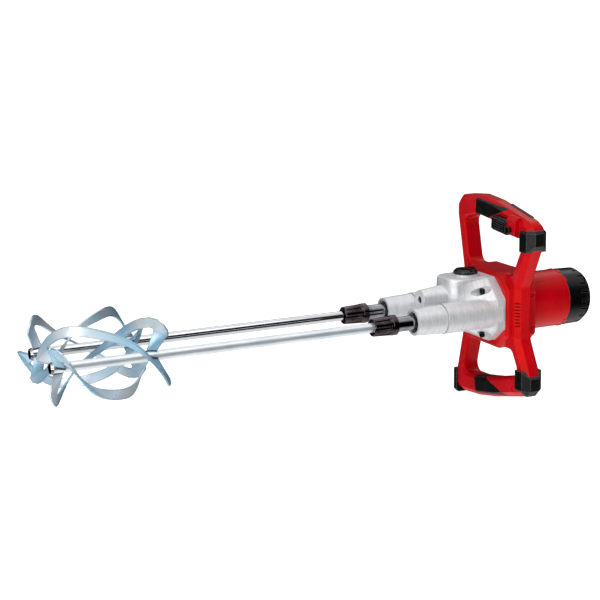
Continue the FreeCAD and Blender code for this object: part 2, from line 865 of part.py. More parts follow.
for half, start in (("front", "handle_x"), ("rear", "handle_x - 2 * hub_front")):
    word = half.capitalize()
    space = block(word + "Half", (start, "-2 * upper_near_y", "-2 * upper_far_z"),
                  ("2 * hub_front", "4 * upper_near_y", "4 * upper_far_z"))
    whole = fuse("GuardedForm", [handle_form, guard]) if half == "front" else handle_form
    shell = common(word + "ShellForm", [whole, space])
    tools = [motor_bore, switch_room] + pad_stretches + handle_holes
    if half == "front":
        tools += [trigger_pocket, button_hole] + vents
    else:
        tools += [inlet_hole]
    node("handle_%s_shell" % half, cut(word + "Shell", shell, group(word + "ShellTools", tools)))


# Gearbox case, cover and inner bearing plate
def flange_corners():
    """Outline shared by the gearbox case's rear flange and the cover."""
    right = [
        ("flange_top_y", "dome_top"),
        ("flange_side", "flange_side_z"),
        ("flange_side", "-flange_side_z"),
        ("flange_bottom_y", "-flange_bottom"),
    ]
    return right + [("-" + y, z) for y, z in reversed(right)]


def flange(name, start, thickness):
    """Plate with the flange outline."""
    body = doc.addObject("PartDesign::Body", name)
    sketch = polygon(attach(body, "YZ_Plane", name + "Outline", start), flange_corners())
    pad(body, sketch, name + "Pad", thickness)
    return body


def build_shoulder():
    """Flared wall of the case from its flange forward into the dome and the tubes."""
    body = doc.addObject("PartDesign::Body", "ShoulderForm")
    wide = polygon(attach(body, "YZ_Plane", "ShoulderRear", CASE_START + " + flange_thickness / 2"),
                   flange_corners())
    heights = ("dome_top - 2 * dome_crown", "shoulder_z", "-shoulder_z", "-dome_under + case_wall")
    right = [("dome_width - case_wall", height) for height in heights]
    slim = polygon(attach(body, "YZ_Plane", "ShoulderFront", "shoulder_end"),
                   right + [("-(%s)" % y, z) for y, z in reversed(right)])
    loft = body.newObject("PartDesign::AdditiveLoft", "ShoulderLoft")
    loft.Profile = wide
    loft.Sections = [slim]
    loft.Ruled = True
    return body


def dome_plan(sketch):
    """Plan of the dome: straight sides and a blunt nose with rounded corners."""
    bend = "(dome_nose - nose_round)"
    flat = "(dome_width - nose_round)"
    corners = [("dome_nose", "-" + flat), (bend, "-dome_width"), (CASE_START, "-dome_width"),
               (CASE_START, "dome_width"), (bend, "dome_width"), ("dome_nose", flat)]
    points = [FreeCAD.Vector(number(u), number(v), 0) for u, v in corners]
    lines = []
    for first, second in ((1, 2), (2, 3), (3, 4), (5, 0)):
        lines.append(sketch.addGeometry(Part.LineSegment(points[first], points[second]), False))
    far_line, rear_line, near_line, front_line = lines
    arcs = []
    for sign, angle in (("-", -math.pi / 2), ("", 0)):
        centre = FreeCAD.Vector(number(bend), number(sign + flat), 0)
        circle_edge = Part.Circle(centre, FreeCAD.Vector(0, 0, 1), size("nose_round"))
        arcs.append(sketch.addGeometry(Part.ArcOfCircle(circle_edge, angle, angle + math.pi / 2), False))
    far_arc, near_arc = arcs
    meetings = [(far_line, 2, rear_line, 1), (rear_line, 2, near_line, 1), (far_arc, 1, far_line, 1),
                (far_arc, 2, front_line, 2), (near_arc, 1, front_line, 1), (near_arc, 2, near_line, 2)]
    for meeting in meetings:
        sketch.addConstraint(Sketcher.Constraint("Coincident", *meeting))
    ends = [(front_line, 2), (far_line, 1), (rear_line, 1), (near_line, 1), (near_line, 2), (front_line, 1)]
    places = [(*end, corner) for end, corner in zip(ends, corners)]
    for line, end, corner in places:
        for kind, text in zip(("DistanceX", "DistanceY"), corner):
            mark = sketch.addConstraint(Sketcher.Constraint(kind, line, end, number(text)))
            bind(sketch, {"Constraints[%d]" % mark: text})
    for arc in arcs:
        mark = sketch.addConstraint(Sketcher.Constraint("DistanceX", arc, 3, number(bend)))
        bind(sketch, {"Constraints[%d]" % mark: bend})
    return sketch


def build_dome():
    """Middle of the case: a blunt nose in plan, with drafted walls and a rounded crown."""
    body = doc.addObject("PartDesign::Body", "DomeForm")
    upper = pad(body, dome_plan(attach(body, "XY_Plane", "DomeUpperPlan")), "DomeUpper", "dome_top",
                "-dome_draft")
    doc.recompute()
    lower = pad(body, dome_plan(attach(body, "XY_Plane", "DomeLowerPlan")), "DomeLower", "dome_under",
                "-dome_draft")
    lower.Reversed = True
    doc.recompute()
    crown = body.newObject("PartDesign::Fillet", "DomeCrown")
    names = []
    for index, edge in enumerate(lower.Shape.Edges, start=1):
        top = all(abs(vertex.Z - size("dome_top")) < 1e-6 for vertex in edge.Vertexes)
        if top and edge.CenterOfMass.x > number(CASE_START) + 1e-6:
            names.append("Edge%d" % index)
    crown.Base = (lower, names)
    bind(crown, {"Radius": "dome_crown"})
    return body


def shaft_spots():
    """Places across the gearbox of the shafts, as pairs of formulas."""
    return {
        "counter": ("0", "counter_z"),
        "drive": ("-idler_y", IDLER_DROP),
        "idler": ("idler_y", IDLER_DROP),
        "near": (HALF_SPACING, "0"),
        "far": ("-" + HALF_SPACING, "0"),
    }


SPOTS = shaft_spots()
COUNTER_BEARING = "(boss_end - boss_front_wall - small_bearing_width)"
CAVITY_HALF = "(dome_width - case_wall)"
TUBE_BORE = "(tube_radius - case_wall)"
SECOND_CENTRES = "sqrt(idler_y ^ 2 + (counter_z - %s) ^ 2)" % IDLER_DROP
SECOND_MODULE = "(2 * %s / (counter_pinion_teeth + second_wheel_teeth))" % SECOND_CENTRES
SECOND_TIP = "(second_wheel_teeth / 2 + tooth_height) * %s" % SECOND_MODULE
FIRST_MODULE = "(2 * counter_z / (motor_pinion_teeth + first_wheel_teeth))"
SEAL_BORE = "(spindle_bearing_radius + fit_gap)"
IDLER_TIP = "((idler_teeth / 2 + tooth_height) * %s)" % MESH_MODULE
PLATE_END = "(%s + plate_thickness)" % PLATE_START

ROOM_HEIGHT = "(dome_top + dome_under - 2 * case_wall)"

case_forms = [build_dome(), build_shoulder(), flange("CaseFlange", CASE_START, "flange_thickness")]
case_rooms = [block("CaseRoom", (CASE_START + " - 1", "-" + CAVITY_HALF, "-(dome_under - case_wall)"),
                    ("%s - %s + 1" % (PLATE_END, CASE_START), "2 * " + CAVITY_HALF, ROOM_HEIGHT))]
case_rooms.append(cylinder("CounterRoom", "counter_front_radius + run_gap", PLATE_END + " - 1",
                           "%s - %s + 1" % (NOSE_WALL, PLATE_END), *SPOTS["counter"]))
case_rooms.append(cylinder("SecondWheelRoom", SECOND_TIP + " + run_gap", CASE_START + " - 1",
                           "%s - %s + 1" % (PLATE_START, CASE_START), *SPOTS["drive"]))
plate_forms = [block("PlateForm", (PLATE_START, "-%s + seat_gap" % CAVITY_HALF,
                                   "-(dome_under - case_wall - seat_gap)"),
                     ("plate_thickness", "2 * (%s - seat_gap)" % CAVITY_HALF,
                      ROOM_HEIGHT + " - 2 * seat_gap"))]
for side in SIDES:
    word = side.capitalize()
    spot = SPOTS[side]
    case_forms.append(cylinder(word + "Tube", "tube_radius", CASE_START, "tube_end - %s" % CASE_START,
                               *spot))
    case_forms.append(cone(word + "Neck", "tube_radius - neck_step", "neck_rim_radius", "tube_end",
                           "neck_length", *spot))
    case_rooms.append(cylinder(word + "TubeRoom", TUBE_BORE, CASE_START + " - 1",
                               "tube_end - case_wall - %s + 1" % CASE_START, *spot))
    case_rooms.append(cylinder(word + "NeckBore", "spindle_bearing_radius - case_wall / 2",
                               "tube_end - case_wall - 1",
                               "neck_length + case_wall + 2", *spot))
    case_rooms.append(cylinder(word + "BearingSeat", SEAL_BORE, FRONT_BEARING,
                               "%s - %s + 1" % (NECK_END, FRONT_BEARING), *spot))
    case_rooms.append(ring(word + "NeckGroove", "tube_radius + 1", "tube_radius - neck_step - neck_groove",
                           "tube_end", "neck_groove", *spot))
    plate_forms.append(cylinder(word + "PlateEar", "%s - seat_gap" % TUBE_BORE, PLATE_START,
                                "plate_thickness", *spot))

case_forms.append(cone("CounterBoss", "boss_root_radius", "boss_radius", NOSE_WALL,
                       "boss_end - %s" % NOSE_WALL, *SPOTS["counter"]))
case_rooms.append(cylinder("CounterSeat", "small_bearing_radius + fit_gap", NOSE_WALL + " - 1",
                           "%s + small_bearing_width - %s + 1" % (COUNTER_BEARING,
                                                                  NOSE_WALL), *SPOTS["counter"]))
case_rooms.append(cylinder("PlugHole", "plug_radius + fit_gap", COUNTER_BEARING,
                           "boss_end - %s + 1" % COUNTER_BEARING,
                           *SPOTS["counter"]))
node("countershaft_plug", cylinder("CountershaftPlug", "plug_radius",
                                   "boss_end - plug_sink - plug_length", "plug_length",
                                   *SPOTS["counter"]))
for name in ("drive", "idler"):
    case_rooms.append(cylinder(name.capitalize() + "NoseSeat", "small_bearing_radius + fit_gap",
                               NOSE_WALL + " - 1",
                               "small_bearing_width + 1", *SPOTS[name]))
    case_rooms.append(cylinder(name.capitalize() + "GearRoom", IDLER_TIP + " + run_gap", PLATE_END,
                               "%s - %s" % (NOSE_WALL, PLATE_END), *SPOTS[name]))

gearbox_screws = []
screw_holes = []
driver_rooms = []
for side, sign_y in SIDES.items():
    for level, sign_z in LEVELS.items():
        name = "GearboxScrew" + side.capitalize() + level.capitalize()
        spot = (sign_y + "lug_y", sign_z + "lug_z")
        case_forms.append(cylinder(name + "Lug", "lug_radius", CASE_START, "lug_end - %s" % CASE_START,
                                   *spot))
        start = "(%s + cover_flange - screw_grip)" % HUB_FRONT
        shank = cylinder(name + "Shank", "screw_radius", start, "lug_end - %s" % start, *spot)
        head = cylinder(name + "Head", "screw_head_radius", "lug_end", "screw_head_length", *spot)
        socket = cylinder(name + "Socket", "screw_socket_radius", "lug_end + screw_head_length / 2",
                          "screw_head_length", *spot)
        gearbox_screws.append(cut(name, fuse(name + "Form", [head, shank]), socket))
        screw_holes.append(cylinder(name + "Hole", "screw_radius + fit_gap", start + " - face_gap",
                                    "lug_end - %s + face_gap + 1" % start, *spot))
        driver_rooms.append(cylinder(name + "DriverRoom", "screw_head_radius + driver_room", "lug_end",
                                     "shoulder_end - lug_end", *spot))
node("gearbox_screws", group("GearboxScrews", gearbox_screws))

DOME_TOP_RING = "(dome_top - case_wall)"
knob_seat = doc.addObject("Part::Cylinder", "KnobSeat")
bind(knob_seat, {"Radius": "knob_ring_radius", "Height": "case_wall + knob_ring_height"})
place(knob_seat, "knob_x", "0", DOME_TOP_RING)
selector_hole = doc.addObject("Part::Cylinder", "SelectorHole")
bind(selector_hole, {"Radius": "selector_radius + fit_gap", "Height": "2 * case_wall + knob_ring_height"})
place(selector_hole, "knob_x", "0", DOME_TOP_RING + " - case_wall / 2")
case_solid = fuse("CaseSolid", case_forms + [knob_seat])
node("gearbox_case", cut("GearboxCase", case_solid,
                         fuse("CaseRooms", case_rooms + screw_holes + driver_rooms + [selector_hole])))

cover_form = fuse("CoverForm", [
    flange("CoverFlange", HUB_FRONT, "cover_flange"),
    cylinder("CoverSpigot", "housing_radius - housing_wall - seat_gap", HUB_FRONT + " - cover_spigot",
             "cover_spigot + 1"),
])
COVER_START = "(%s - cover_spigot)" % HUB_FRONT
cover_rooms = [
    cylinder("CoverMotorSeat", "motor_bearing_radius + fit_gap", COVER_START + " - 1",
             "motor_bearing_width + 1"),
    cylinder("CoverShaftHole", "motor_shaft_radius + run_gap", COVER_START,
             "cover_spigot + cover_flange + 1"),
    cylinder("CoverCounterSeat", "small_bearing_radius + fit_gap", CASE_START + " - small_bearing_width",
             "small_bearing_width + 1", *SPOTS["counter"]),
]
node("gearbox_cover", cut("GearboxCover", cover_form, group("CoverRooms", cover_rooms + screw_holes)))

plate_rooms = [cylinder("PlateCounterHole", "counter_front_radius + run_gap", PLATE_START + " - 1",
                        "plate_thickness + 2",
                        *SPOTS["counter"])]
for name in ("drive", "idler"):
    plate_rooms.append(cylinder(name.capitalize() + "PlateSeat", "small_bearing_radius + fit_gap",
                                PLATE_START + " - 1",
                                "plate_thickness + 2", *SPOTS[name]))
for side in SIDES:
    plate_rooms.append(cylinder(side.capitalize() + "PlateSeat", "tail_bearing_radius + fit_gap",
                                PLATE_START + " - 1",
                                "plate_thickness + 2", *SPOTS[side]))
node("bearing_plate", cut("BearingPlate", fuse("BearingPlateForm", plate_forms),
                          group("PlateRooms", plate_rooms)))

# Bearings and seals, fixed in their seats
BEARING_PLATE_START = "(%s + (plate_thickness - small_bearing_width) / 2)" % PLATE_START
shaft_rings = [
    ring("CounterRearRing", "small_bearing_radius", "gear_bore_radius + fit_gap",
         CASE_START + " - small_bearing_width",
         "small_bearing_width", *SPOTS["counter"]),
    ring("CounterFrontRing", "small_bearing_radius", "counter_front_radius + fit_gap", COUNTER_BEARING,
         "small_bearing_width", *SPOTS["counter"]),
]
for name in ("drive", "idler"):
    for place_word, start in (("Plate", BEARING_PLATE_START), ("Nose", NOSE_WALL)):
        shaft_rings.append(ring(name.capitalize() + place_word + "Ring", "small_bearing_radius",
                                "gear_bore_radius + fit_gap", start, "small_bearing_width", *SPOTS[name]))
node("shaft_bearings", group("ShaftBearings", shaft_rings))
TAIL_BEARING = "(%s + (plate_thickness - tail_bearing_width) / 2)" % PLATE_START
spindle_rings = []
seal_rings = []
for side in SIDES:
    word = side.capitalize()
    spindle_rings.append(ring(word + "TailRing", "tail_bearing_radius", "spindle_tail_radius + fit_gap",
                              TAIL_BEARING,
                              "tail_bearing_width", *SPOTS[side]))
    spindle_rings.append(ring(word + "FrontRing", "spindle_bearing_radius", "spindle_body_radius + fit_gap",
                              FRONT_BEARING,
                              "spindle_bearing_width", *SPOTS[side]))
    seal_rings.append(ring(word + "SealRing", "spindle_bearing_radius", "spindle_radius + fit_gap",
                           SEAL_START,
                           "seal_width", *SPOTS[side]))
node("spindle_bearings", group("SpindleBearings", spindle_rings))
node("oil_seals", group("OilSeals", seal_rings))
WEB_START = "(cap_length + web_setback)"
REAR_BEARING = "(%s + (web_thickness - motor_bearing_width) / 2)" % WEB_START
motor_rings = [
    ring("MotorRearRing", "motor_bearing_radius", "motor_shaft_radius + fit_gap", REAR_BEARING,
         "motor_bearing_width"),
    ring("MotorFrontRing", "motor_bearing_radius", "motor_shaft_radius + fit_gap", COVER_START,
         "motor_bearing_width"),
]
node("motor_bearings", group("MotorBearings", motor_rings))


# Selector knob on the dome
def upright(name, radius, start, length):
    """Cylinder along Z over the selector's axis."""
    part = doc.addObject("Part::Cylinder", name)
    bind(part, {"Radius": radius, "Height": length})
    return place(part, "knob_x", "0", start)


KNOB_SEAT_TOP = "(dome_top + knob_ring_height + face_gap)"
knob_top = doc.addObject("Part::Cone", "KnobTop")
bind(knob_top, {"Radius1": "knob_radius", "Radius2": "knob_radius - knob_crown", "Height": "knob_crown"})
place(knob_top, "knob_x", "0", KNOB_SEAT_TOP + " + knob_height - knob_crown")
knob_ridge = block("KnobRidge", ("knob_x - knob_radius + knob_crown", "-knob_ridge / 2",
                                 KNOB_SEAT_TOP + " + knob_height - 1"),
                   ("2 * (knob_radius - knob_crown)", "knob_ridge", "knob_ridge / 2 + 1"))
node("selector_knob", fuse("SelectorKnob", [
    upright("KnobBase", "knob_radius", KNOB_SEAT_TOP, "knob_height - knob_crown"),
    knob_top,
    knob_ridge,
    upright("SelectorStem", "selector_radius", "dome_top - selector_depth",
            "selector_depth + knob_ring_height + 1"),
]))


# Gear train: straight-flanked teeth inside the involute, with backlash
PRESSURE_ANGLE = math.radians(20)
FIRST_AT = number(FIRST_START)
SECOND_AT = number(SECOND_START)
MESH_AT = number(MESH_START)


def spot(name):
    """Place of a shaft across the gearbox, as a vector."""
    if name == "motor":
        return FreeCAD.Vector(0, 0, 0)
    y, z = SPOTS[name]
    return FreeCAD.Vector(0, number(y), number(z))


def tooth_half_angle(teeth, module, radius):
    """Half the angle that a tooth fills at a radius."""
    pitch = teeth * module / 2
    base = pitch * math.cos(PRESSURE_ANGLE)
    flank = math.acos(base / max(radius, base))
    filled = math.pi / (2 * teeth) - size("tooth_backlash") * module / (2 * pitch)
    return filled + math.tan(PRESSURE_ANGLE) - PRESSURE_ANGLE - math.tan(flank) + flank


def gear(teeth, module, start, width, centre, phase):
    """Toothed disc along X, phase being the angle of one tooth's middle from +Y towards +Z."""
    pitch = teeth * module / 2
    tip = pitch + size("tooth_height") * module
    root = pitch - size("tooth_root") * module
    points = []
    for tooth in range(int(teeth)):
        middle = phase + 2 * math.pi * tooth / teeth
        for radius, side in ((root, -1), (tip, -1), (tip, 1), (root, 1)):
            angle = middle + side * tooth_half_angle(teeth, module, radius)
            points.append(centre + FreeCAD.Vector(start, radius * math.cos(angle),
                                                  radius * math.sin(angle)))
    face = Part.Face(Part.makePolygon(points + points[:1]))
    return face.extrude(FreeCAD.Vector(width, 0, 0))


def meshed_phase(teeth, phase, centre, other_teeth, other_centre):
    """Phase of a second gear whose gap faces a first gear's tooth."""
    line = other_centre - centre
    towards = math.atan2(line.z, line.y)
    share = (towards - phase) * teeth / (2 * math.pi)
    return towards + math.pi - (0.5 - share) * 2 * math.pi / other_teeth


def shaft(radius, start, end, centre):
    """Plain round shaft along X."""
    return Part.makeCylinder(radius, end - start, centre + FreeCAD.Vector(start, 0, 0), X_AXIS)


def joined(first, *others):
    """One solid from overlapping solids."""
    return first.multiFuse(list(others)).removeSplitter()


first_module = number(FIRST_MODULE)
second_module = number(SECOND_MODULE)
mesh_module = number(MESH_MODULE)
bore = size("gear_bore_radius") + size("fit_gap")

pinion_phase = 0.0
first_phase = meshed_phase(size("motor_pinion_teeth"), pinion_phase, spot("motor"),
                           size("first_wheel_teeth"), spot("counter"))
second_phase = meshed_phase(size("counter_pinion_teeth"), 0.0, spot("counter"), size("second_wheel_teeth"),
                            spot("drive"))
drive_phase = 0.0
idler_phase = meshed_phase(size("idler_teeth"), drive_phase, spot("drive"), size("idler_teeth"),
                           spot("idler"))
spindle_phase = {
    "far": meshed_phase(size("idler_teeth"), drive_phase, spot("drive"), size("spindle_teeth"),
                        spot("far")),
    "near": meshed_phase(size("idler_teeth"), idler_phase, spot("idler"), size("spindle_teeth"),
                         spot("near")),
}

first_wheel = gear(size("first_wheel_teeth"), first_module, FIRST_AT, size("first_width"), spot("counter"),
                   first_phase)
first_bore = shaft(bore, FIRST_AT - 1, FIRST_AT + size("first_width") + 1, spot("counter"))
node("first_stage_wheel", feature("FirstStageWheel", first_wheel.cut(first_bore)))

pinion_at = SECOND_AT - size("run_gap")
pinion_width = size("second_width") + size("run_gap")
counter_pinion = gear(size("counter_pinion_teeth"), second_module, pinion_at, pinion_width, spot("counter"),
                      0.0)
counter_rear = shaft(size("gear_bore_radius"), number(CASE_START) - size("small_bearing_width"), pinion_at,
                     spot("counter"))
counter_front = shaft(size("counter_front_radius"), SECOND_AT,
                      number(COUNTER_BEARING) + size("small_bearing_width"), spot("counter"))
node("countershaft", feature("Countershaft", joined(counter_pinion, counter_rear, counter_front)))

second_wheel = gear(size("second_wheel_teeth"), second_module, SECOND_AT, size("second_width"),
                    spot("drive"), second_phase)
second_bore = shaft(bore, SECOND_AT - 1, SECOND_AT + size("second_width") + 1, spot("drive"))
node("second_stage_wheel", feature("SecondStageWheel", second_wheel.cut(second_bore)))

nose_end = number(NOSE_WALL) + size("small_bearing_width")
for name, label, start, phase in (("drive", "drive_shaft", SECOND_AT, drive_phase),
                                  ("idler", "idler_shaft", number(BEARING_PLATE_START), idler_phase)):
    teeth = gear(size("idler_teeth"), mesh_module, MESH_AT, size("spindle_gear_width"), spot(name), phase)
    journal = shaft(size("gear_bore_radius"), start, nose_end, spot(name))
    node(label, feature(label.title().replace("_", ""), joined(teeth, journal)))

# Spindles with their gears, release sleeves and stirrer rods
SPINDLE_END = "(%s + sleeve_length - spindle_setback)" % SLEEVE_START
NOSE_START = "(%s + spindle_bearing_width + face_gap)" % FRONT_BEARING
DISC_START = "(paddle_front - tip_setback - end_disc_thickness)"
for side in SIDES:
    word = side.capitalize()
    node(side + "_spindle", turned(word + "Spindle", [
        (TAIL_BEARING, "0"),
        (TAIL_BEARING, "spindle_tail_radius"),
        (MESH_START, "spindle_tail_radius"),
        (MESH_START, "spindle_body_radius"),
        (NOSE_START, "spindle_body_radius"),
        (NOSE_START, "spindle_radius"),
        (SPINDLE_END + " - spindle_chamfer", "spindle_radius"),
        (SPINDLE_END, "spindle_radius - spindle_chamfer"),
        (SPINDLE_END, "rod_radius + fit_gap"),
        (SOCKET_START, "rod_radius + fit_gap"),
        (SOCKET_START, "0"),
    ], *SPOTS[side]))
    wheel = gear(size("spindle_teeth"), mesh_module, MESH_AT, size("spindle_gear_width"), spot(side),
                 spindle_phase[side])
    wheel_bore = shaft(size("spindle_body_radius") + size("fit_gap"), MESH_AT - 1,
                       MESH_AT + size("spindle_gear_width") + 1, spot(side))
    node(side + "_spindle_gear", feature(word + "SpindleGear", wheel.cut(wheel_bore)))

    sleeve = turned(word + "Sleeve", [
        (SLEEVE_START, "spindle_radius + face_gap"),
        (SLEEVE_START, "sleeve_rear_radius"),
        (SLEEVE_START + " + sleeve_rear_length", "sleeve_rear_radius"),
        (SLEEVE_START + " + sleeve_rear_length", "sleeve_radius"),
        (SLEEVE_START + " + sleeve_length - sleeve_chamfer", "sleeve_front_radius"),
        (SLEEVE_START + " + sleeve_length", "sleeve_front_radius - sleeve_chamfer"),
        (SLEEVE_START + " + sleeve_length", "spindle_radius + face_gap"),
    ], *SPOTS[side])
    doc.recompute()
    plain_volume = sleeve.Shape.Volume
    groove_sketch = attach(sleeve, "YZ_Plane", word + "GrooveOutline",
                           SLEEVE_START + " + sleeve_rear_length + sleeve_band")
    circle(groove_sketch, "sleeve_groove_radius",
           "sleeve_radius + sleeve_groove_radius - sleeve_groove_depth", "0")
    groove = sleeve.newObject("PartDesign::Pocket", word + "Groove")
    groove.Profile = groove_sketch
    groove.Reversed = True
    bind(groove, {"Length": "sleeve_length"})
    doc.recompute()
    spread(sleeve, groove, word + "Grooves", "sleeve_groove_count")
    doc.recompute()
    if sleeve.Shape.Volume > plain_volume - 1:
        raise RuntimeError("the sleeve's grooves cut nothing")
    node(side + "_release_sleeve", sleeve)

    rod_start = "(%s + face_gap)" % SOCKET_START
    node(side + "_stirrer_rod", cylinder(word + "StirrerRod", "rod_radius", rod_start,
                                         "%s - %s" % (DISC_START, rod_start),
                                         *SPOTS[side]))
    disc = cone(word + "EndDiscRim", "end_disc_radius", "end_disc_radius - end_disc_thickness / 2",
                DISC_START,
                "end_disc_thickness", *SPOTS[side])
    node(side + "_rod_end_disc", disc)


# Paddle blades: half-frames of strip, wound round the rod from end to end and fastest at the ends
def blade_stations():
    """Outer and inner edge points along a blade before it is wound, as station and radius pairs."""
    rear = number(PADDLE_REAR)
    front = number(BLADE_FRONT)
    reach = size("paddle_radius")
    width = size("blade_width")
    corner = size("blade_corner")
    foot = size("rod_radius") - 1
    root = rear + size("blade_lean")
    steps = int(size("corner_steps"))
    stations = [((root, foot), (root + width, foot))]
    for step in range(steps + 1):
        angle = math.pi - math.pi / 2 * step / steps
        across, out = math.cos(angle), math.sin(angle)
        outer = (rear + corner + corner * across, reach - corner + corner * out)
        inner = (rear + corner + (corner - width) * across, reach - corner + (corner - width) * out)
        stations.append((outer, inner))
    first_half = list(stations)
    sides = int(size("blade_steps"))
    for step in range(1, sides):
        along = rear + corner + (front - rear - 2 * corner) * step / sides
        stations.append(((along, reach), (along, reach - width)))
    for outer, inner in reversed(first_half):
        stations.append(((rear + front - outer[0], outer[1]), (rear + front - inner[0], inner[1])))
    return stations


def blade(side, start_angle, hand):
    """One wound blade; angles run from up towards the near side, hand is the sense of the winding."""
    twist = math.radians(size("blade_twist"))
    half = size("blade_thickness") / 2
    rear = number(PADDLE_REAR)
    length = number(BLADE_FRONT) - rear

    def wound(edge_point):
        """Place in space of an edge point."""
        along, radius = edge_point
        share = (along - rear) / length
        swing = size("end_twist") * math.sin(2 * math.pi * share) / (2 * math.pi)
        angle = start_angle + hand * twist * (share + swing)
        return spot(side) + FreeCAD.Vector(along, radius * math.sin(angle), radius * math.cos(angle))

    edges = [(wound(outer), wound(inner)) for outer, inner in blade_stations()]
    middles = [(outer + inner) / 2 for outer, inner in edges]
    wires = []
    for index, (outer, inner) in enumerate(edges):
        ahead = middles[min(index + 1, len(middles) - 1)] - middles[max(index - 1, 0)]
        across = (outer - inner).cross(ahead)
        across.normalize()
        corners = [outer + across * half, inner + across * half, inner - across * half,
                   outer - across * half]
        wires.append(Part.makePolygon(corners + corners[:1]))
    strip = Part.makeLoft(wires, True, True)
    seat = shaft(size("rod_radius") + size("fit_gap"), rear - 1, size("paddle_front"), spot(side))
    return strip.cut(seat)


HANDS = {"near": -1, "far": 1}
blade_count = int(size("blade_count"))
for side, hand in HANDS.items():
    first_angle = math.radians(size(side + "_blade_start"))
    for index in range(blade_count):
        angle = first_angle + 2 * math.pi * index / blade_count
        node("%s_blade_%d" % (side, index + 1),
             feature("%sBlade%d" % (side.capitalize(), index + 1), blade(side, angle, hand)))

# Motor housing, end cap and their screws
CAP_FACE = "(housing_radius - cap_face_inset)"
WEB_END = "(%s + web_thickness)" % WEB_START
housing = turned("MotorHousingForm", [
    ("cap_length", INNER),
    ("cap_length", "housing_radius"),
    (HUB_FRONT, "housing_radius"),
    (HUB_FRONT, INNER),
    (WEB_END, INNER),
    (WEB_END, "motor_bearing_radius + fit_gap"),
    (WEB_START, "motor_bearing_radius + fit_gap"),
    (WEB_START, INNER),
])
cap = turned("CapShell", [
    ("0", "0"),
    ("0", CAP_FACE),
    ("cap_shoulder", "housing_radius - cap_taper"),
    ("cap_length", "housing_radius"),
    ("cap_length", INNER),
    ("cap_shoulder + cap_wall / 2", "housing_radius - cap_taper - cap_wall"),
    ("cap_wall", CAP_FACE + " - cap_wall / 2"),
    ("cap_wall", "0"),
])
doc.recompute()
closed_volume = cap.Shape.Volume
slot_sketch = attach(cap, "XY_Plane", "CapSlotOutline", CAP_FACE + " - cap_wall")
slot_end = "cap_slot_start + cap_slot_length"
polygon(slot_sketch, [("cap_slot_start", "-cap_slot_width / 2"), (slot_end, "-cap_slot_width / 2"),
                      (slot_end, "cap_slot_width / 2"), ("cap_slot_start", "cap_slot_width / 2")])
cap_slot = cap.newObject("PartDesign::Pocket", "CapSlot")
cap_slot.Profile = slot_sketch
cap_slot.Reversed = True
bind(cap_slot, {"Length": "housing_radius"})
doc.recompute()
spread(cap, cap_slot, "CapSlots", "cap_slot_count")
doc.recompute()
if cap.Shape.Volume > closed_volume - 1:
    raise RuntimeError("the cap's slots cut nothing")

CAP_SCREW_END = "(%s + web_thickness - cap_screw_cover)" % WEB_START
cap_bosses = []
cap_screws = []
cap_holes = []
for side, sign_y in SIDES.items():
    for level, sign_z in LEVELS.items():
        name = "CapScrew" + side.capitalize() + level.capitalize()
        corner = (sign_y + "cap_screw_y", sign_z + "cap_screw_y")
        cap_bosses.append(cylinder(name + "Boss", "cap_screw_head + cap_wall", "cap_wall / 2",
                                   WEB_START + " - cap_wall / 2", *corner))
        head = cylinder(name + "Head", "cap_screw_head", "cap_screw_sink", "cap_screw_head", *corner)
        under = "(cap_screw_sink + cap_screw_head)"
        shank = cylinder(name + "Shank", "cap_screw_radius", under, "%s - %s" % (CAP_SCREW_END, under),
                         *corner)
        cap_screws.append(fuse(name, [head, shank]))
        cap_holes.append(cylinder(name + "Recess", "cap_screw_head + seat_gap", "-1", under + " + 1",
                                  *corner))
        cap_holes.append(cylinder(name + "Hole", "cap_screw_radius + fit_gap", under,
                                  "%s - %s + face_gap" % (CAP_SCREW_END, under), *corner))
node("cap_screws", group("CapScrews", cap_screws))
node("motor_end_cap", cut("MotorEndCap", fuse("CapForm", [cap] + cap_bosses), group("CapHoles", cap_holes)))
node("motor_housing", cut("MotorHousing", housing, group("HousingHoles", cap_holes)))

# Stator, field coils, brushes and armature
COIL_START = "(stator_start - coil_overhang)"
COIL_LENGTH = "(stator_length + 2 * coil_overhang)"
STATOR_BORE = "(%s - stator_depth)" % INNER
COIL_INNER = "(%s + pole_shoe)" % STATOR_BORE
COIL_OUTER = "(%s - yoke_depth)" % INNER


def winding(name, slack):
    """Ring of windings round both pole cores, with a slack all round."""
    loop = ring(name + "Loop", "%s + %s" % (COIL_OUTER, slack), "%s - %s" % (COIL_INNER, slack), COIL_START,
                COIL_LENGTH)
    half = "(pole_half_width - %s)" % slack
    pole = block(name + "Pole", ("stator_start", "-" + half, "-housing_radius"),
                 ("stator_length", "2 * " + half, "2 * housing_radius"))
    return cut(name, loop, pole)


coil_form = winding("Coil", "0")
coil_parting = block("CoilParting", (COIL_START + " - 1", "-housing_radius", "-coil_parting / 2"),
                     (COIL_LENGTH + " + 2", "2 * housing_radius", "coil_parting"))
node("field_coils", cut("FieldCoils", coil_form, coil_parting))
stator_ring = ring("StatorRing", INNER + " - fit_gap", STATOR_BORE, "stator_start", "stator_length")
node("stator_core", cut("StatorCore", stator_ring, winding("CoilRoom", "face_gap")))

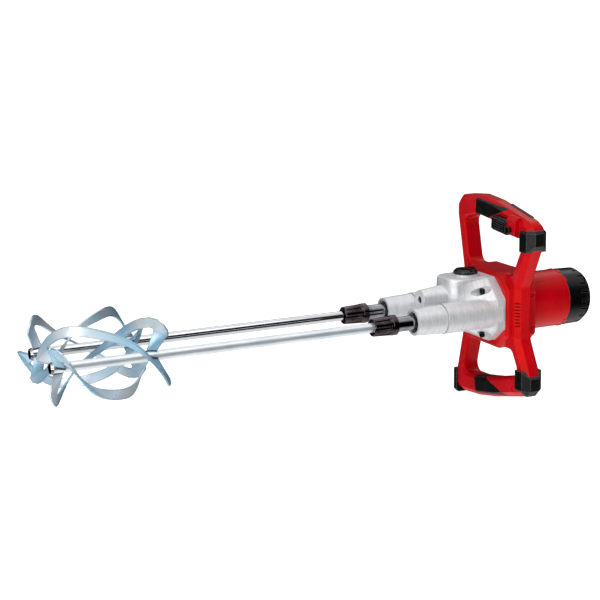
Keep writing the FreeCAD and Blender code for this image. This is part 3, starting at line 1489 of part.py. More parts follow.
HOLDER_Y = "(brush_height + 2 * holder_wall)"
HOLDER_REACH = "(%s - holder_inset)" % INNER
BRUSH_FACE = "(commutator_radius + face_gap)"
BRUSH_X = "(commutator_start + (commutator_length - brush_width) / 2)"
holders = []
brushes = []
for level, sign in LEVELS.items():
    word = level.capitalize()
    low = "commutator_radius + holder_gap" if level == "upper" else "-" + HOLDER_REACH
    body_block = block(word + "HolderBlock", (WEB_END, "-%s / 2" % HOLDER_Y, low),
                       ("%s + brush_width + holder_wall - %s" % (BRUSH_X, WEB_END), HOLDER_Y,
                        HOLDER_REACH + " - commutator_radius - holder_gap"))
    channel = block(word + "BrushChannel",
                    (BRUSH_X + " - fit_gap", "-brush_height / 2 - fit_gap", "-housing_radius"),
                    ("brush_width + 2 * fit_gap", "brush_height + 2 * fit_gap", "2 * housing_radius"))
    holders.append(cut(word + "Holder", body_block, channel))
    brush_low = BRUSH_FACE if level == "upper" else "-(%s + brush_length)" % BRUSH_FACE
    brushes.append(block(word + "Brush", (BRUSH_X, "-brush_height / 2", brush_low),
                         ("brush_width", "brush_height", "brush_length")))
node("brush_holders", group("BrushHolders", holders))
node("carbon_brushes", group("CarbonBrushes", brushes))

pinion = gear(size("motor_pinion_teeth"), first_module, FIRST_AT, size("first_width"), spot("motor"),
              pinion_phase)
motor_journal = shaft(size("motor_shaft_radius"), number(REAR_BEARING), number(CASE_START), spot("motor"))
pinion_neck = shaft(size("pinion_neck_radius"), number(CASE_START) - 1, FIRST_AT + 1, spot("motor"))
node("armature_shaft", feature("ArmatureShaft", joined(motor_journal, pinion_neck, pinion)))
SHAFT_BORE = "motor_shaft_radius + fit_gap"
node("armature_core", ring("ArmatureCore", STATOR_BORE + " - rotor_gap", SHAFT_BORE, "stator_start",
                           "stator_length"))
node("commutator", ring("Commutator", "commutator_radius", SHAFT_BORE, "commutator_start",
                        "commutator_length"))
FAN_RADIUS = "(%s - fan_inset)" % INNER
fan = turned("CoolingFan", [
    ("fan_start", SHAFT_BORE),
    ("fan_start", "fan_hub_radius"),
    ("fan_start + fan_width - fan_plate", "fan_hub_radius"),
    ("fan_start + fan_width - fan_plate", FAN_RADIUS),
    ("fan_start + fan_width", FAN_RADIUS),
    ("fan_start + fan_width", SHAFT_BORE),
])
doc.recompute()
vane_sketch = attach(fan, "YZ_Plane", "FanVaneOutline", "fan_start")
polygon(vane_sketch, [("fan_hub_radius - 1", "0"), (FAN_RADIUS, "fan_sweep"),
                      (FAN_RADIUS, "fan_sweep + fan_plate"),
                      ("fan_hub_radius - 1", "fan_plate")])
vane = pad(fan, vane_sketch, "FanVane", "fan_width - fan_plate / 2")
doc.recompute()
spread(fan, vane, "FanVanes", "fan_blades")
node("cooling_fan", fan)


# Every object and every sub-part is sound before anything is written
doc.recompute()
for thing in doc.Objects:
    if "Invalid" in thing.State or "Error" in thing.State:
        raise RuntimeError("%s failed: %s" % (thing.Label, thing.State))
os.makedirs("parts", exist_ok=True)
for name, thing in NODES.items():
    shape = thing.Shape
    if shape.isNull() or not shape.isValid():
        raise RuntimeError("%s has no sound shape" % name)
    print("%-24s solids %d volume %.1f" % (name, len(shape.Solids), shape.Volume))
for name, thing in NODES.items():
    thing.Shape.exportStep("parts/%s.step" % name)
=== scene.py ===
"""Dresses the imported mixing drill: finishes for its CAD nodes, small added detail, and a studio."""
import logging
import math
from dataclasses import dataclass, field
from enum import Enum
from typing import Any, Optional

import bmesh
import bpy
from mathutils import Matrix, Vector


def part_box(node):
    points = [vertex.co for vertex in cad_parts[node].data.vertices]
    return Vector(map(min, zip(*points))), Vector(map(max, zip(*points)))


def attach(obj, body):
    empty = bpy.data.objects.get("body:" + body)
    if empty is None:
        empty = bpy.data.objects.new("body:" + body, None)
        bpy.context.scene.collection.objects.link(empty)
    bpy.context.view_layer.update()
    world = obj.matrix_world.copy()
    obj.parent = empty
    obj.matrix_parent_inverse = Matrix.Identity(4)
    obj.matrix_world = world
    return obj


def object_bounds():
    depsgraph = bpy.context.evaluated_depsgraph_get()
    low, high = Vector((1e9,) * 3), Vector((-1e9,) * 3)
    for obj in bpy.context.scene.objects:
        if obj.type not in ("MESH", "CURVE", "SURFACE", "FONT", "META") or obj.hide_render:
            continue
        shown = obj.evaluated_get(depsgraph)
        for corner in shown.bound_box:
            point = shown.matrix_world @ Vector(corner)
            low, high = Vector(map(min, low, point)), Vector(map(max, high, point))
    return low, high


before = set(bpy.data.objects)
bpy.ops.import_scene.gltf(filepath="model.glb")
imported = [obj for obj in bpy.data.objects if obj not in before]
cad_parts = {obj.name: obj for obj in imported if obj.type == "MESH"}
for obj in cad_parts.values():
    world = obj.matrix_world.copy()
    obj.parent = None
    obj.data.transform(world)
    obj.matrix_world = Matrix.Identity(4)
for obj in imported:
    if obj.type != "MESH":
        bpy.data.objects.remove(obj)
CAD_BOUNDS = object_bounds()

LOG = logging.getLogger("mixing_drill")
Edge = bmesh.types.BMEdge
Shape = bmesh.types.BMesh
Socket = bpy.types.NodeSocket
Tree = bpy.types.NodeTree
Triple = tuple[float, float, float]

MM = 0.001
FULL_TURN = 2 * math.pi
# Sockets of a colour mix node: its share, its two colours and its result
MIX_SHARE, MIX_FIRST, MIX_SECOND, MIX_RESULT = 0, 6, 7, 2
# Width of one band of a wave texture at scale 1
WAVE_BAND = 0.314
BEVEL_SAMPLES = 4
CLOUD_DETAIL = 3.0
GRAIN_DETAIL = 2.0
# Part of a noise texture's range over which roughness swings, in patches smaller than the colour's
POLISH_RANGE = (0.3, 0.7)
POLISH_FINENESS = 3
# Cosines between the rounded and the flat normal where the edge band of wear, painted highlight and painted
# shade starts and where it is full
EDGE_WEAR_AND_SHADING_COSINES = (0.998, 0.92)
EDGE_WEAR_AND_SHADING_PATCH_MM = 4.0
# Rounding of an added piece's edges
ROUND_SEGMENTS = 2
ROUND_PROFILE = 0.5
KEEP_MATERIAL = -1


def linear(colour: str) -> tuple[float, float, float, float]:
    """Turns an sRGB hex colour into linear values.

    Args:
        colour: six hex digits after a hash.

    Returns:
        Linear red, green and blue, and full alpha.
    """
    channels = [int(colour[start:start + 2], 16) / 255 for start in (1, 3, 5)]
    values = [c / 12.92 if c <= 0.04045 else ((c + 0.055) / 1.055) ** 2.4 for c in channels]
    return values[0], values[1], values[2], 1.0


def add_node(tree: Tree, kind: str, settings: Optional[dict[Any, Any]] = None,
             links: Optional[dict[Any, Socket]] = None) -> bpy.types.Node:
    """Adds a node with its settings and links.

    Args:
        tree: the material's or world's node tree.
        kind: Blender's name of the node type.
        settings: values by property name, input name or input number.
        links: sockets that feed the inputs, by name or number.

    Returns:
        The new node.
    """
    node = tree.nodes.new(kind)
    for key, value in (settings or {}).items():
        if isinstance(key, str) and hasattr(node, key):
            setattr(node, key, value)
        else:
            node.inputs[key].default_value = value
    for key, source in (links or {}).items():
        tree.links.new(source, node.inputs[key])
    return node


def soften(shape: Shape, edges: list[Edge], offset: float) -> None:
    """Rounds the edges of a shape.

    Args:
        shape: the bmesh that they belong to.
        edges: the edges to round.
        offset: how far the rounding reaches from each edge.
    """
    bmesh.ops.bevel(shape, geom=edges, offset=offset, segments=ROUND_SEGMENTS, profile=ROUND_PROFILE,
                    affect="EDGES", material=KEEP_MATERIAL)


def soft_blocks(places: list[Matrix], size: Triple, offset: float) -> Shape:
    """Sets a block with rounded edges at each of several places.

    Args:
        places: where each block's middle is and how it is turned.
        size: a block's lengths along its own axes.
        offset: how far the rounding reaches from each edge.

    Returns:
        The bmesh with all the blocks.
    """
    shape = bmesh.new()
    for place in places:
        bmesh.ops.create_cube(shape, size=1.0, matrix=place @ Matrix.Diagonal((*size, 1)))
    soften(shape, shape.edges[:], offset)
    return shape


@dataclass(frozen=True)
class Finish:
    """A real material and how its surface was made, drawn on Object coordinates."""

    name: str
    colour: str
    shade: str
    roughness: float
    swing: float = 0.08
    metallic: float = 0.0
    ior: float = 1.5
    grain_mm: float = 1.0
    depth_mm: float = 0.05
    drift_mm: float = 40.0
    drift_detail: float = CLOUD_DETAIL
    drift_range: tuple[float, float] = (0.35, 0.65)
    edge_mm: float = 0.6
    specular: float = 0.5
    sheen_tint: str = "#FFFFFF"
    # Colour, width and strength of the broken band along the edges: wear, painted highlights and painted
    # shade
    wear_and_edge_shading: str = ""
    wear_and_edge_shading_mm: float = 1.2
    wear_and_edge_shading_share: float = 0.6

    def material(self) -> bpy.types.Material:
        """Gives the finish's material, made at its first use."""
        made = bpy.data.materials.get(self.name)
        return made if made else self.make()

    def make(self) -> bpy.types.Material:
        """Builds the node tree.

        Returns:
            The new material.
        """
        material = bpy.data.materials.new(self.name)
        material.use_nodes = True
        tree = material.node_tree
        tree.nodes.clear()
        place = add_node(tree, "ShaderNodeTexCoord").outputs["Object"]
        height = self.relief(tree, place)
        soft_edge = add_node(tree, "ShaderNodeBevel",
                             {"samples": BEVEL_SAMPLES, "Radius": self.edge_mm * MM})
        bump = add_node(tree, "ShaderNodeBump", {"Strength": 1.0, "Distance": self.depth_mm * MM},
                        {"Height": height, "Normal": soft_edge.outputs["Normal"]})
        colour = self.tint(tree, place, height)
        if self.wear_and_edge_shading:
            colour = self.rub_and_shade_edges(tree, place, colour)
        settings = {"Metallic": self.metallic, "IOR": self.ior, "Specular IOR Level": self.specular,
                    "Specular Tint": linear(self.sheen_tint)}
        links = {"Base Color": colour, "Roughness": self.polish(tree, place),
                 "Normal": bump.outputs["Normal"]}
        shader = add_node(tree, "ShaderNodeBsdfPrincipled", settings, links)
        add_node(tree, "ShaderNodeOutputMaterial", None, {"Surface": shader.outputs["BSDF"]})
        return material

    def cloud(self, tree: Tree, place: Socket, size_mm: float, detail: float = CLOUD_DETAIL) -> Socket:
        """Soft noise whose patches have a given size.

        Args:
            tree: the material's tree.
            place: the coordinates that it follows.
            size_mm: width of a patch.
            detail: octaves of finer noise.

        Returns:
            A value from 0 to 1.
        """
        noise = add_node(tree, "ShaderNodeTexNoise", {"Scale": 1 / (size_mm * MM), "Detail": detail},
                         {"Vector": place})
        return noise.outputs["Fac"]

    def drift(self, tree: Tree, place: Socket, height: Socket) -> Socket:
        """How much of the second shade shows, here in soft clouds.

        Args:
            tree: the material's tree.
            place: Object coordinates.
            height: the relief, for finishes whose hollows are darker.

        Returns:
            A value from 0 to 1.
        """
        low, high = self.drift_range
        share = add_node(tree, "ShaderNodeMapRange", {"From Min": low, "From Max": high},
                         {"Value": self.cloud(tree, place, self.drift_mm, self.drift_detail)})
        return share.outputs["Result"]

    def tint(self, tree: Tree, place: Socket, height: Socket) -> Socket:
        """Colour that drifts between the two named shades.

        Args:
            tree: the material's tree.
            place: Object coordinates.
            height: the relief.

        Returns:
            The colour socket.
        """
        shades = {MIX_FIRST: linear(self.colour), MIX_SECOND: linear(self.shade)}
        mixed = add_node(tree, "ShaderNodeMix", {"data_type": "RGBA", **shades},
                         {MIX_SHARE: self.drift(tree, place, height)})
        return mixed.outputs[MIX_RESULT]

    def polish(self, tree: Tree, place: Socket) -> Socket:
        """Roughness that varies over the surface.

        Args:
            tree: the material's tree.
            place: Object coordinates.

        Returns:
            The roughness socket.
        """
        low, high = POLISH_RANGE
        spread = add_node(tree, "ShaderNodeMapRange",
                          {"From Min": low, "From Max": high,
                           "To Min": self.roughness - self.swing, "To Max": self.roughness + self.swing},
                          {"Value": self.cloud(tree, place, self.drift_mm / POLISH_FINENESS)})
        return spread.outputs["Result"]

    def relief(self, tree: Tree, place: Socket) -> Socket:
        """Height of the fine grain, here plain noise."""
        return self.cloud(tree, place, self.grain_mm, GRAIN_DETAIL)

    def rub_and_shade_edges(self, tree: Tree, place: Socket, colour: Socket) -> Socket:
        """Colour with a broken band along the edges: wear, painted highlights and painted shade.

        Args:
            tree: the material's tree.
            place: Object coordinates.
            colour: the colour of the sound surface.

        Returns:
            The colour socket.
        """
        flat = add_node(tree, "ShaderNodeNewGeometry").outputs["Normal"]
        rounded = add_node(tree, "ShaderNodeBevel",
                           {"samples": BEVEL_SAMPLES, "Radius": self.wear_and_edge_shading_mm * MM})
        agree = add_node(tree, "ShaderNodeVectorMath", {"operation": "DOT_PRODUCT"},
                         {0: rounded.outputs["Normal"], 1: flat})
        start, full = EDGE_WEAR_AND_SHADING_COSINES
        near_edge = add_node(tree, "ShaderNodeMapRange",
                             {"From Min": start, "From Max": full,
                              "To Min": 0.0, "To Max": self.wear_and_edge_shading_share},
                             {"Value": agree.outputs["Value"]})
        broken = add_node(tree, "ShaderNodeMath", {"operation": "MULTIPLY"},
                          {0: near_edge.outputs["Result"], 1: self.cloud(tree, place, EDGE_WEAR_AND_SHADING_PATCH_MM)})
        mixed = add_node(tree, "ShaderNodeMix", {"data_type": "RGBA", MIX_SECOND: linear(self.wear_and_edge_shading)},
                         {MIX_SHARE: broken.outputs[0], MIX_FIRST: colour})
        return mixed.outputs[MIX_RESULT]


@dataclass(frozen=True)
class SeamedMoulding(Finish):
    """Moulded plastic with the fine line where two halves of the tool meet."""

    seam_mm: float = 160.0
    seam_width_mm: float = 0.8
    seam_core: float = 0.6
    seam_colour: str = "#3A0008"

    def seam(self, tree: Tree, place: Socket) -> Socket:
        """Mask that is 1 on the parting line and fades outside its core.

        Args:
            tree: the material's tree.
            place: Object coordinates.

        Returns:
            The mask's socket.
        """
        parts = add_node(tree, "ShaderNodeSeparateXYZ", None, {"Vector": place})
        offset = add_node(tree, "ShaderNodeMath", {"operation": "SUBTRACT", 1: self.seam_mm * MM},
                          {0: parts.outputs["X"]})
        away = add_node(tree, "ShaderNodeMath", {"operation": "ABSOLUTE"}, {0: offset.outputs[0]})
        half = self.seam_width_mm * MM / 2
        mask = add_node(tree, "ShaderNodeMapRange",
                        {"From Min": half * self.seam_core, "From Max": half,
                         "To Min": 1.0, "To Max": 0.0},
                        {"Value": away.outputs[0]})
        return mask.outputs["Result"]

    def tint(self, tree: Tree, place: Socket, height: Socket) -> Socket:
        """Drifting colour with the darker line on it.

        Args:
            tree: the material's tree.
            place: Object coordinates.
            height: the relief.

        Returns:
            The colour socket.
        """
        base = super().tint(tree, place, height)
        mixed = add_node(tree, "ShaderNodeMix",
                         {"data_type": "RGBA", MIX_SECOND: linear(self.seam_colour)},
                         {MIX_SHARE: self.seam(tree, place), MIX_FIRST: base})
        return mixed.outputs[MIX_RESULT]


@dataclass(frozen=True)
class BlastedCasting(Finish):
    """Die casting that was shot blasted and belt ground: pits, and fine scratches round the X axis."""

    scratch_mm: float = 1.4
    scratch_stretch: float = 0.07
    shot_share: float = 0.5
    hollow_range: tuple[float, float] = (0.30, 0.95)

    def scratches(self, tree: Tree, place: Socket) -> Socket:
        """Noise drawn out across X, as a grinding belt leaves it.

        Args:
            tree: the material's tree.
            place: Object coordinates.

        Returns:
            A value from 0 to 1.
        """
        stretch = (1.0, self.scratch_stretch, self.scratch_stretch)
        drawn_out = add_node(tree, "ShaderNodeMapping", {"Scale": stretch}, {"Vector": place})
        return self.cloud(tree, drawn_out.outputs["Vector"], self.scratch_mm)

    def relief(self, tree: Tree, place: Socket) -> Socket:
        """Fine shot marks under the scratches.

        Args:
            tree: the material's tree.
            place: Object coordinates.

        Returns:
            The height socket.
        """
        shot = add_node(tree, "ShaderNodeTexVoronoi",
                        {"Scale": 1 / (self.grain_mm * MM), "Randomness": 1.0}, {"Vector": place})
        added = add_node(tree, "ShaderNodeMath", {"operation": "MULTIPLY_ADD", 1: self.shot_share},
                         {0: shot.outputs["Distance"], 2: self.scratches(tree, place)})
        return added.outputs[0]

    def drift(self, tree: Tree, place: Socket, height: Socket) -> Socket:
        """How much of the second shade shows, here most in the hollows.

        Args:
            tree: the material's tree.
            place: Object coordinates.
            height: the relief.

        Returns:
            A value from 0 to 1.
        """
        low, high = self.hollow_range
        share = add_node(tree, "ShaderNodeMapRange",
                         {"From Min": low, "From Max": high, "To Min": 1.0, "To Max": 0.0},
                         {"Value": height})
        return share.outputs["Result"]


@dataclass(frozen=True)
class TurnedMetal(Finish):
    """Metal off a lathe or drawn through a die: fine rings across X."""

    def relief(self, tree: Tree, place: Socket) -> Socket:
        """Tool marks that follow X alone.

        Args:
            tree: the material's tree.
            place: Object coordinates.

        Returns:
            The height socket.
        """
        parts = add_node(tree, "ShaderNodeSeparateXYZ", None, {"Vector": place})
        marks = add_node(tree, "ShaderNodeTexNoise",
                         {"noise_dimensions": "1D", "Scale": 1 / (self.grain_mm * MM),
                          "Detail": GRAIN_DETAIL},
                         {"W": parts.outputs["X"]})
        return marks.outputs["Fac"]


@dataclass(frozen=True)
class GroovedRubber(Finish):
    """Grip rubber with fine grooves along the grip."""

    groove_mm: float = 3.2
    grain_share: float = 0.25

    def relief(self, tree: Tree, place: Socket) -> Socket:
        """Grooves along Y, under the rubber's own grain.

        Args:
            tree: the material's tree.
            place: Object coordinates.

        Returns:
            The height socket.
        """
        parts = add_node(tree, "ShaderNodeSeparateXYZ", None, {"Vector": place})
        across = add_node(tree, "ShaderNodeMath", {"operation": "ADD"},
                          {0: parts.outputs["X"], 1: parts.outputs["Z"]})
        line = add_node(tree, "ShaderNodeCombineXYZ", None, {"X": across.outputs[0]})
        grooves = add_node(tree, "ShaderNodeTexWave",
                           {"wave_type": "BANDS", "bands_direction": "X",
                            "Scale": WAVE_BAND / (self.groove_mm * MM)},
                           {"Vector": line.outputs["Vector"]})
        added = add_node(tree, "ShaderNodeMath", {"operation": "MULTIPLY_ADD", 1: self.grain_share},
                         {0: super().relief(tree, place), 2: grooves.outputs["Fac"]})
        return added.outputs[0]


@dataclass(frozen=True)
class BandedMetal(Finish):
    """Stacked sheets or laid wire: even bands across X."""

    waviness: float = 0.3

    def relief(self, tree: Tree, place: Socket) -> Socket:
        """Even bands across X, one to each sheet or wire.

        Args:
            tree: the material's tree.
            place: Object coordinates.

        Returns:
            The height socket.
        """
        bands = add_node(tree, "ShaderNodeTexWave",
                         {"wave_type": "BANDS", "bands_direction": "X",
                          "Scale": WAVE_BAND / (self.grain_mm * MM), "Distortion": self.waviness},
                         {"Vector": place})
        return bands.outputs["Fac"]


# Moulded ABS, spark-eroded mould: deep red with a fine even grain and a warm sheen, with a painted
# orange-red highlight along its edges
RED_ABS = SeamedMoulding("moulded_red_abs", "#C00014", "#AC0010", 0.32, 0.05, ior=1.54, grain_mm=0.9,
                         depth_mm=0.02, drift_mm=60, edge_mm=1.2, specular=0.55, sheen_tint="#FF6A38",
                         wear_and_edge_shading="#EE4A33")
# Glass-filled nylon: nearly black with a soft shine, with painted grey highlights along its edges
BLACK_NYLON = Finish("moulded_black_nylon", "#050506", "#0B0C0D", 0.24, 0.06, ior=1.53, grain_mm=0.9,
                     depth_mm=0.02, drift_mm=30, edge_mm=0.8, specular=0.34, wear_and_edge_shading="#7A7B80",
                     wear_and_edge_shading_share=0.9)
# Moulded rubber of bumpers and seals: dull black, grey in broken patches along its edges
BUMPER_RUBBER = Finish("moulded_bumper_rubber", "#060607", "#0E0E0F", 0.42, ior=1.52, grain_mm=1.4,
                       depth_mm=0.04, drift_mm=22, edge_mm=1.6, specular=0.30, wear_and_edge_shading="#77757A", wear_and_edge_shading_mm=2.0,
                       wear_and_edge_shading_share=0.8)
# Overmoulded grip rubber: dull black with fine grooves along the grip
GRIP_RUBBER = GroovedRubber("overmoulded_grip_rubber", "#080809", "#111112", 0.40, 0.10, ior=1.52,
                            grain_mm=1.4, depth_mm=0.22, drift_mm=22, edge_mm=1.4)
# Die-cast aluminium, shot blasted and belt ground: pale silver with fine scratches and no clear reflection,
# with a painted near-white highlight along its edges
CAST_ALUMINIUM = BlastedCasting("blasted_cast_aluminium", "#E6E7E9", "#B8BABD", 0.47, metallic=0.5,
                                grain_mm=1.1, depth_mm=0.08, drift_mm=35, edge_mm=0.9, wear_and_edge_shading="#F2F2F2")
# Turned and ground steel: bright, with fine rings
GROUND_STEEL = TurnedMetal("ground_steel", "#B9BCC0", "#A9ADB2", 0.24, metallic=1.0, grain_mm=0.6,
                           depth_mm=0.004, drift_mm=20, edge_mm=0.3)
# Ground and polished steel of the spindles and the rods' end discs: a grey mirror with fine rings
POLISHED_STEEL = TurnedMetal("polished_spindle_steel", "#A6A7AB", "#808287", 0.09, 0.03, metallic=1.0,
                             grain_mm=1.6, depth_mm=0.003, drift_mm=20, edge_mm=0.4)
# Black oxide on polished steel: a dark, brownish mirror, with painted purple-grey highlights along its edges
BLACK_OXIDE = Finish("black_oxide_steel", "#5E5356", "#382F33", 0.14, 0.04, metallic=1.0, grain_mm=0.8,
                     depth_mm=0.015, drift_mm=18, wear_and_edge_shading="#A59A9D", wear_and_edge_shading_share=0.7)
# Black oxide on cap screws and plugs, oiled: black with a dull shine
OILED_SCREW = Finish("oiled_black_screw", "#1B1A1C", "#100F11", 0.30, 0.06, metallic=0.6, grain_mm=0.5,
                     depth_mm=0.01, drift_mm=4, edge_mm=0.3, wear_and_edge_shading="#6C6A6E", wear_and_edge_shading_mm=0.5)
# Hard chrome on ground bar: mirror bright, slightly cool
CHROME_PLATE = TurnedMetal("chrome_plated_bar", "#E9EBEE", "#DDE1E5", 0.08, 0.03, metallic=1.0,
                           grain_mm=1.5, depth_mm=0.002, drift_mm=50, edge_mm=0.4)
# Hard chrome, a paler and rougher copy for the near rod that paints in its lighter reflection: pale and
# cool, with only a blurred reflection
PAINTED_PALE_CHROME = TurnedMetal("painted_pale_chrome_bar", "#F4F7FA", "#E2EAF0", 0.36, 0.05, metallic=0.75,
                           grain_mm=1.5, depth_mm=0.002, drift_mm=50, edge_mm=0.4)
# Zinc plating under a clear film: satin, pale blue-grey in wide soft clouds, with painted shade in dark teal
# along the sheared edges
ZINC_PLATE = Finish("zinc_plated_strip", "#DEE8EF", "#92BED6", 0.30, 0.03, metallic=0.5, grain_mm=1.2,
                    depth_mm=0.004, drift_mm=65, drift_detail=0.0, drift_range=(0.36, 0.66),
                    wear_and_edge_shading="#16384A", wear_and_edge_shading_mm=3.0, wear_and_edge_shading_share=1.1)
# Oxidised weld: dull dark grey
DARK_STEEL = Finish("oxidised_steel", "#5C6064", "#3A3D40", 0.42, 0.12, metallic=0.8, grain_mm=0.8,
                    depth_mm=0.06, drift_mm=6, edge_mm=0.4)
# Enamelled copper wire laid side by side
COPPER_WIRE = BandedMetal("enamelled_copper_wire", "#B4622E", "#9A4A20", 0.30, 0.06, metallic=1.0,
                          grain_mm=1.2, depth_mm=0.15, drift_mm=12, edge_mm=0.3)
# Stacked electrical steel sheet, drawn three times as coarse as it is so that it shows
SHEET_STACK = BandedMetal("stacked_electrical_steel", "#6E7074", "#5C5E62", 0.42, metallic=1.0,
                          grain_mm=1.5, depth_mm=0.06, drift_mm=20, edge_mm=0.2)
# Pressed graphite: soft dark grey
GRAPHITE = Finish("pressed_graphite", "#2A2B2D", "#343638", 0.55, 0.06, grain_mm=0.5, depth_mm=0.03,
                  drift_mm=5, edge_mm=0.2)


class Side(Enum):
    """The two sides of the tool, as the photo shows them."""

    NEAR = "near"
    FAR = "far"

    @property
    def sign(self) -> int:
        """Sense of Y on this side."""
        return 1 if self is Side.NEAR else -1


@dataclass
class SubAssembly:
    """A group of CAD nodes and the pieces that Blender adds to them."""

    body: str = "machine"
    pieces: list[bpy.types.Object] = field(default_factory=list)

    def finishes(self) -> dict[str, Finish]:
        """Finish of each CAD node, by node name."""
        return {}

    def build(self) -> None:
        """Builds the added pieces; a plain group has none."""

    def dress(self) -> None:
        """Puts each node's finish in its material slots."""
        for node, finish in self.finishes().items():
            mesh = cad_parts[node].data
            mesh.materials.clear()
            mesh.materials.append(finish.material())

    def add(self, name: str, shape: Shape, finish: Finish, slot: str, body: str = "") -> None:
        """Makes a mesh object of a finished bmesh and lets it ride on a body.

        Args:
            name: the piece's name.
            shape: the bmesh, in metres in the frame; it is freed.
            finish: what the piece is made of.
            slot: the record's material slot; not used.
            body: the CAD body that carries it, or the group's own.
        """
        mesh = bpy.data.meshes.new(name)
        shape.to_mesh(mesh)
        shape.free()
        mesh.materials.append(finish.material())
        piece = bpy.data.objects.new(name, mesh)
        bpy.context.scene.collection.objects.link(piece)
        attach(piece, body or self.body)
        self.pieces.append(piece)


@dataclass
class HandleFrame(SubAssembly):
    """The two red shells with their rubber pads, bumpers and screws."""

    strip_x: float = 0.156
    strip_width: float = 0.0055
    strip_height: float = 0.0024
    strip_round: float = 0.0006
    strip_line: tuple[tuple[float, float], ...] = ((0.031, 0.1770), (0.062, 0.1705), (0.096, 0.1633))

    def finishes(self) -> dict[str, Finish]:
        """Finish of each CAD node.

        Returns:
            The finishes by node name.
        """
        made: dict[str, Finish] = {"handle_%s_shell" % end: RED_ABS for end in ("front", "rear")}
        for level in ("upper", "lower"):
            made[level + "_grip_pad"] = GRIP_RUBBER
            for side in Side:
                made["%s_%s_bumper" % (level, side.value)] = BUMPER_RUBBER
        made["handle_screws"] = GROUND_STEEL
        made["cord_inlet"] = BUMPER_RUBBER
        return made

    def build(self) -> None:
        """Lays the rubber strip along the top of the switch grip."""
        shape = bmesh.new()
        stations = [Vector((self.strip_x, y, z)) for y, z in self.strip_line]
        size = Matrix.Diagonal((self.strip_width, 1, self.strip_height, 1))
        upright = Matrix.Rotation(math.pi / 2, 4, "X")
        bmesh.ops.create_grid(shape, x_segments=1, y_segments=1, size=0.5,
                              matrix=Matrix.Translation(stations[0]) @ size @ upright)
        end_face = shape.faces[:]
        for start, end in zip(stations, stations[1:]):
            grown = bmesh.ops.extrude_face_region(shape, geom=end_face)["geom"]
            corners = [item for item in grown if isinstance(item, bmesh.types.BMVert)]
            bmesh.ops.translate(shape, verts=corners, vec=end - start)
            end_face = [item for item in grown if isinstance(item, bmesh.types.BMFace)]
        inner = [face for face in shape.faces if all(len(edge.link_faces) > 2 for edge in face.edges)]
        bmesh.ops.delete(shape, geom=inner, context="FACES_ONLY")
        bmesh.ops.recalc_face_normals(shape, faces=shape.faces)
        soften(shape, shape.edges[:], self.strip_round)
        self.add("grip_edge_strip", shape, BUMPER_RUBBER, "black_rubber")


@dataclass
class SwitchGroup(SubAssembly):
    """Trigger, its lock and the switch behind them."""

    tilt: float = -0.0894
    rib_count: int = 6
    rib_pitch: float = 0.0038
    rib_height: float = 0.0012
    rib_stand: float = 0.0012
    rib_margin: float = 0.006
    rib_round: float = 0.0003

    def finishes(self) -> dict[str, Finish]:
        """Finish of each CAD node, by node name."""
        return {node: BLACK_NYLON for node in ("trigger", "lock_button", "switch_body")}

    def build(self) -> None:
        """Sets finger ribs on the trigger's face."""
        low, high = (Vector(corner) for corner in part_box("trigger"))
        middle = (low + high) / 2
        middle.x = high.x
        face = Matrix.Translation(middle) @ Matrix.Rotation(self.tilt, 4, "X")
        heights = [(index - (self.rib_count - 1) / 2) * self.rib_pitch for index in range(self.rib_count)]
        places = [face @ Matrix.Translation((0, 0, height)) for height in heights]
        size = (self.rib_stand, high.y - low.y - 2 * self.rib_margin, self.rib_height)
        ribs = soft_blocks(places, size, self.rib_round)
        self.add("trigger_finger_ribs", ribs, BLACK_NYLON, "black_plastic", "trigger")


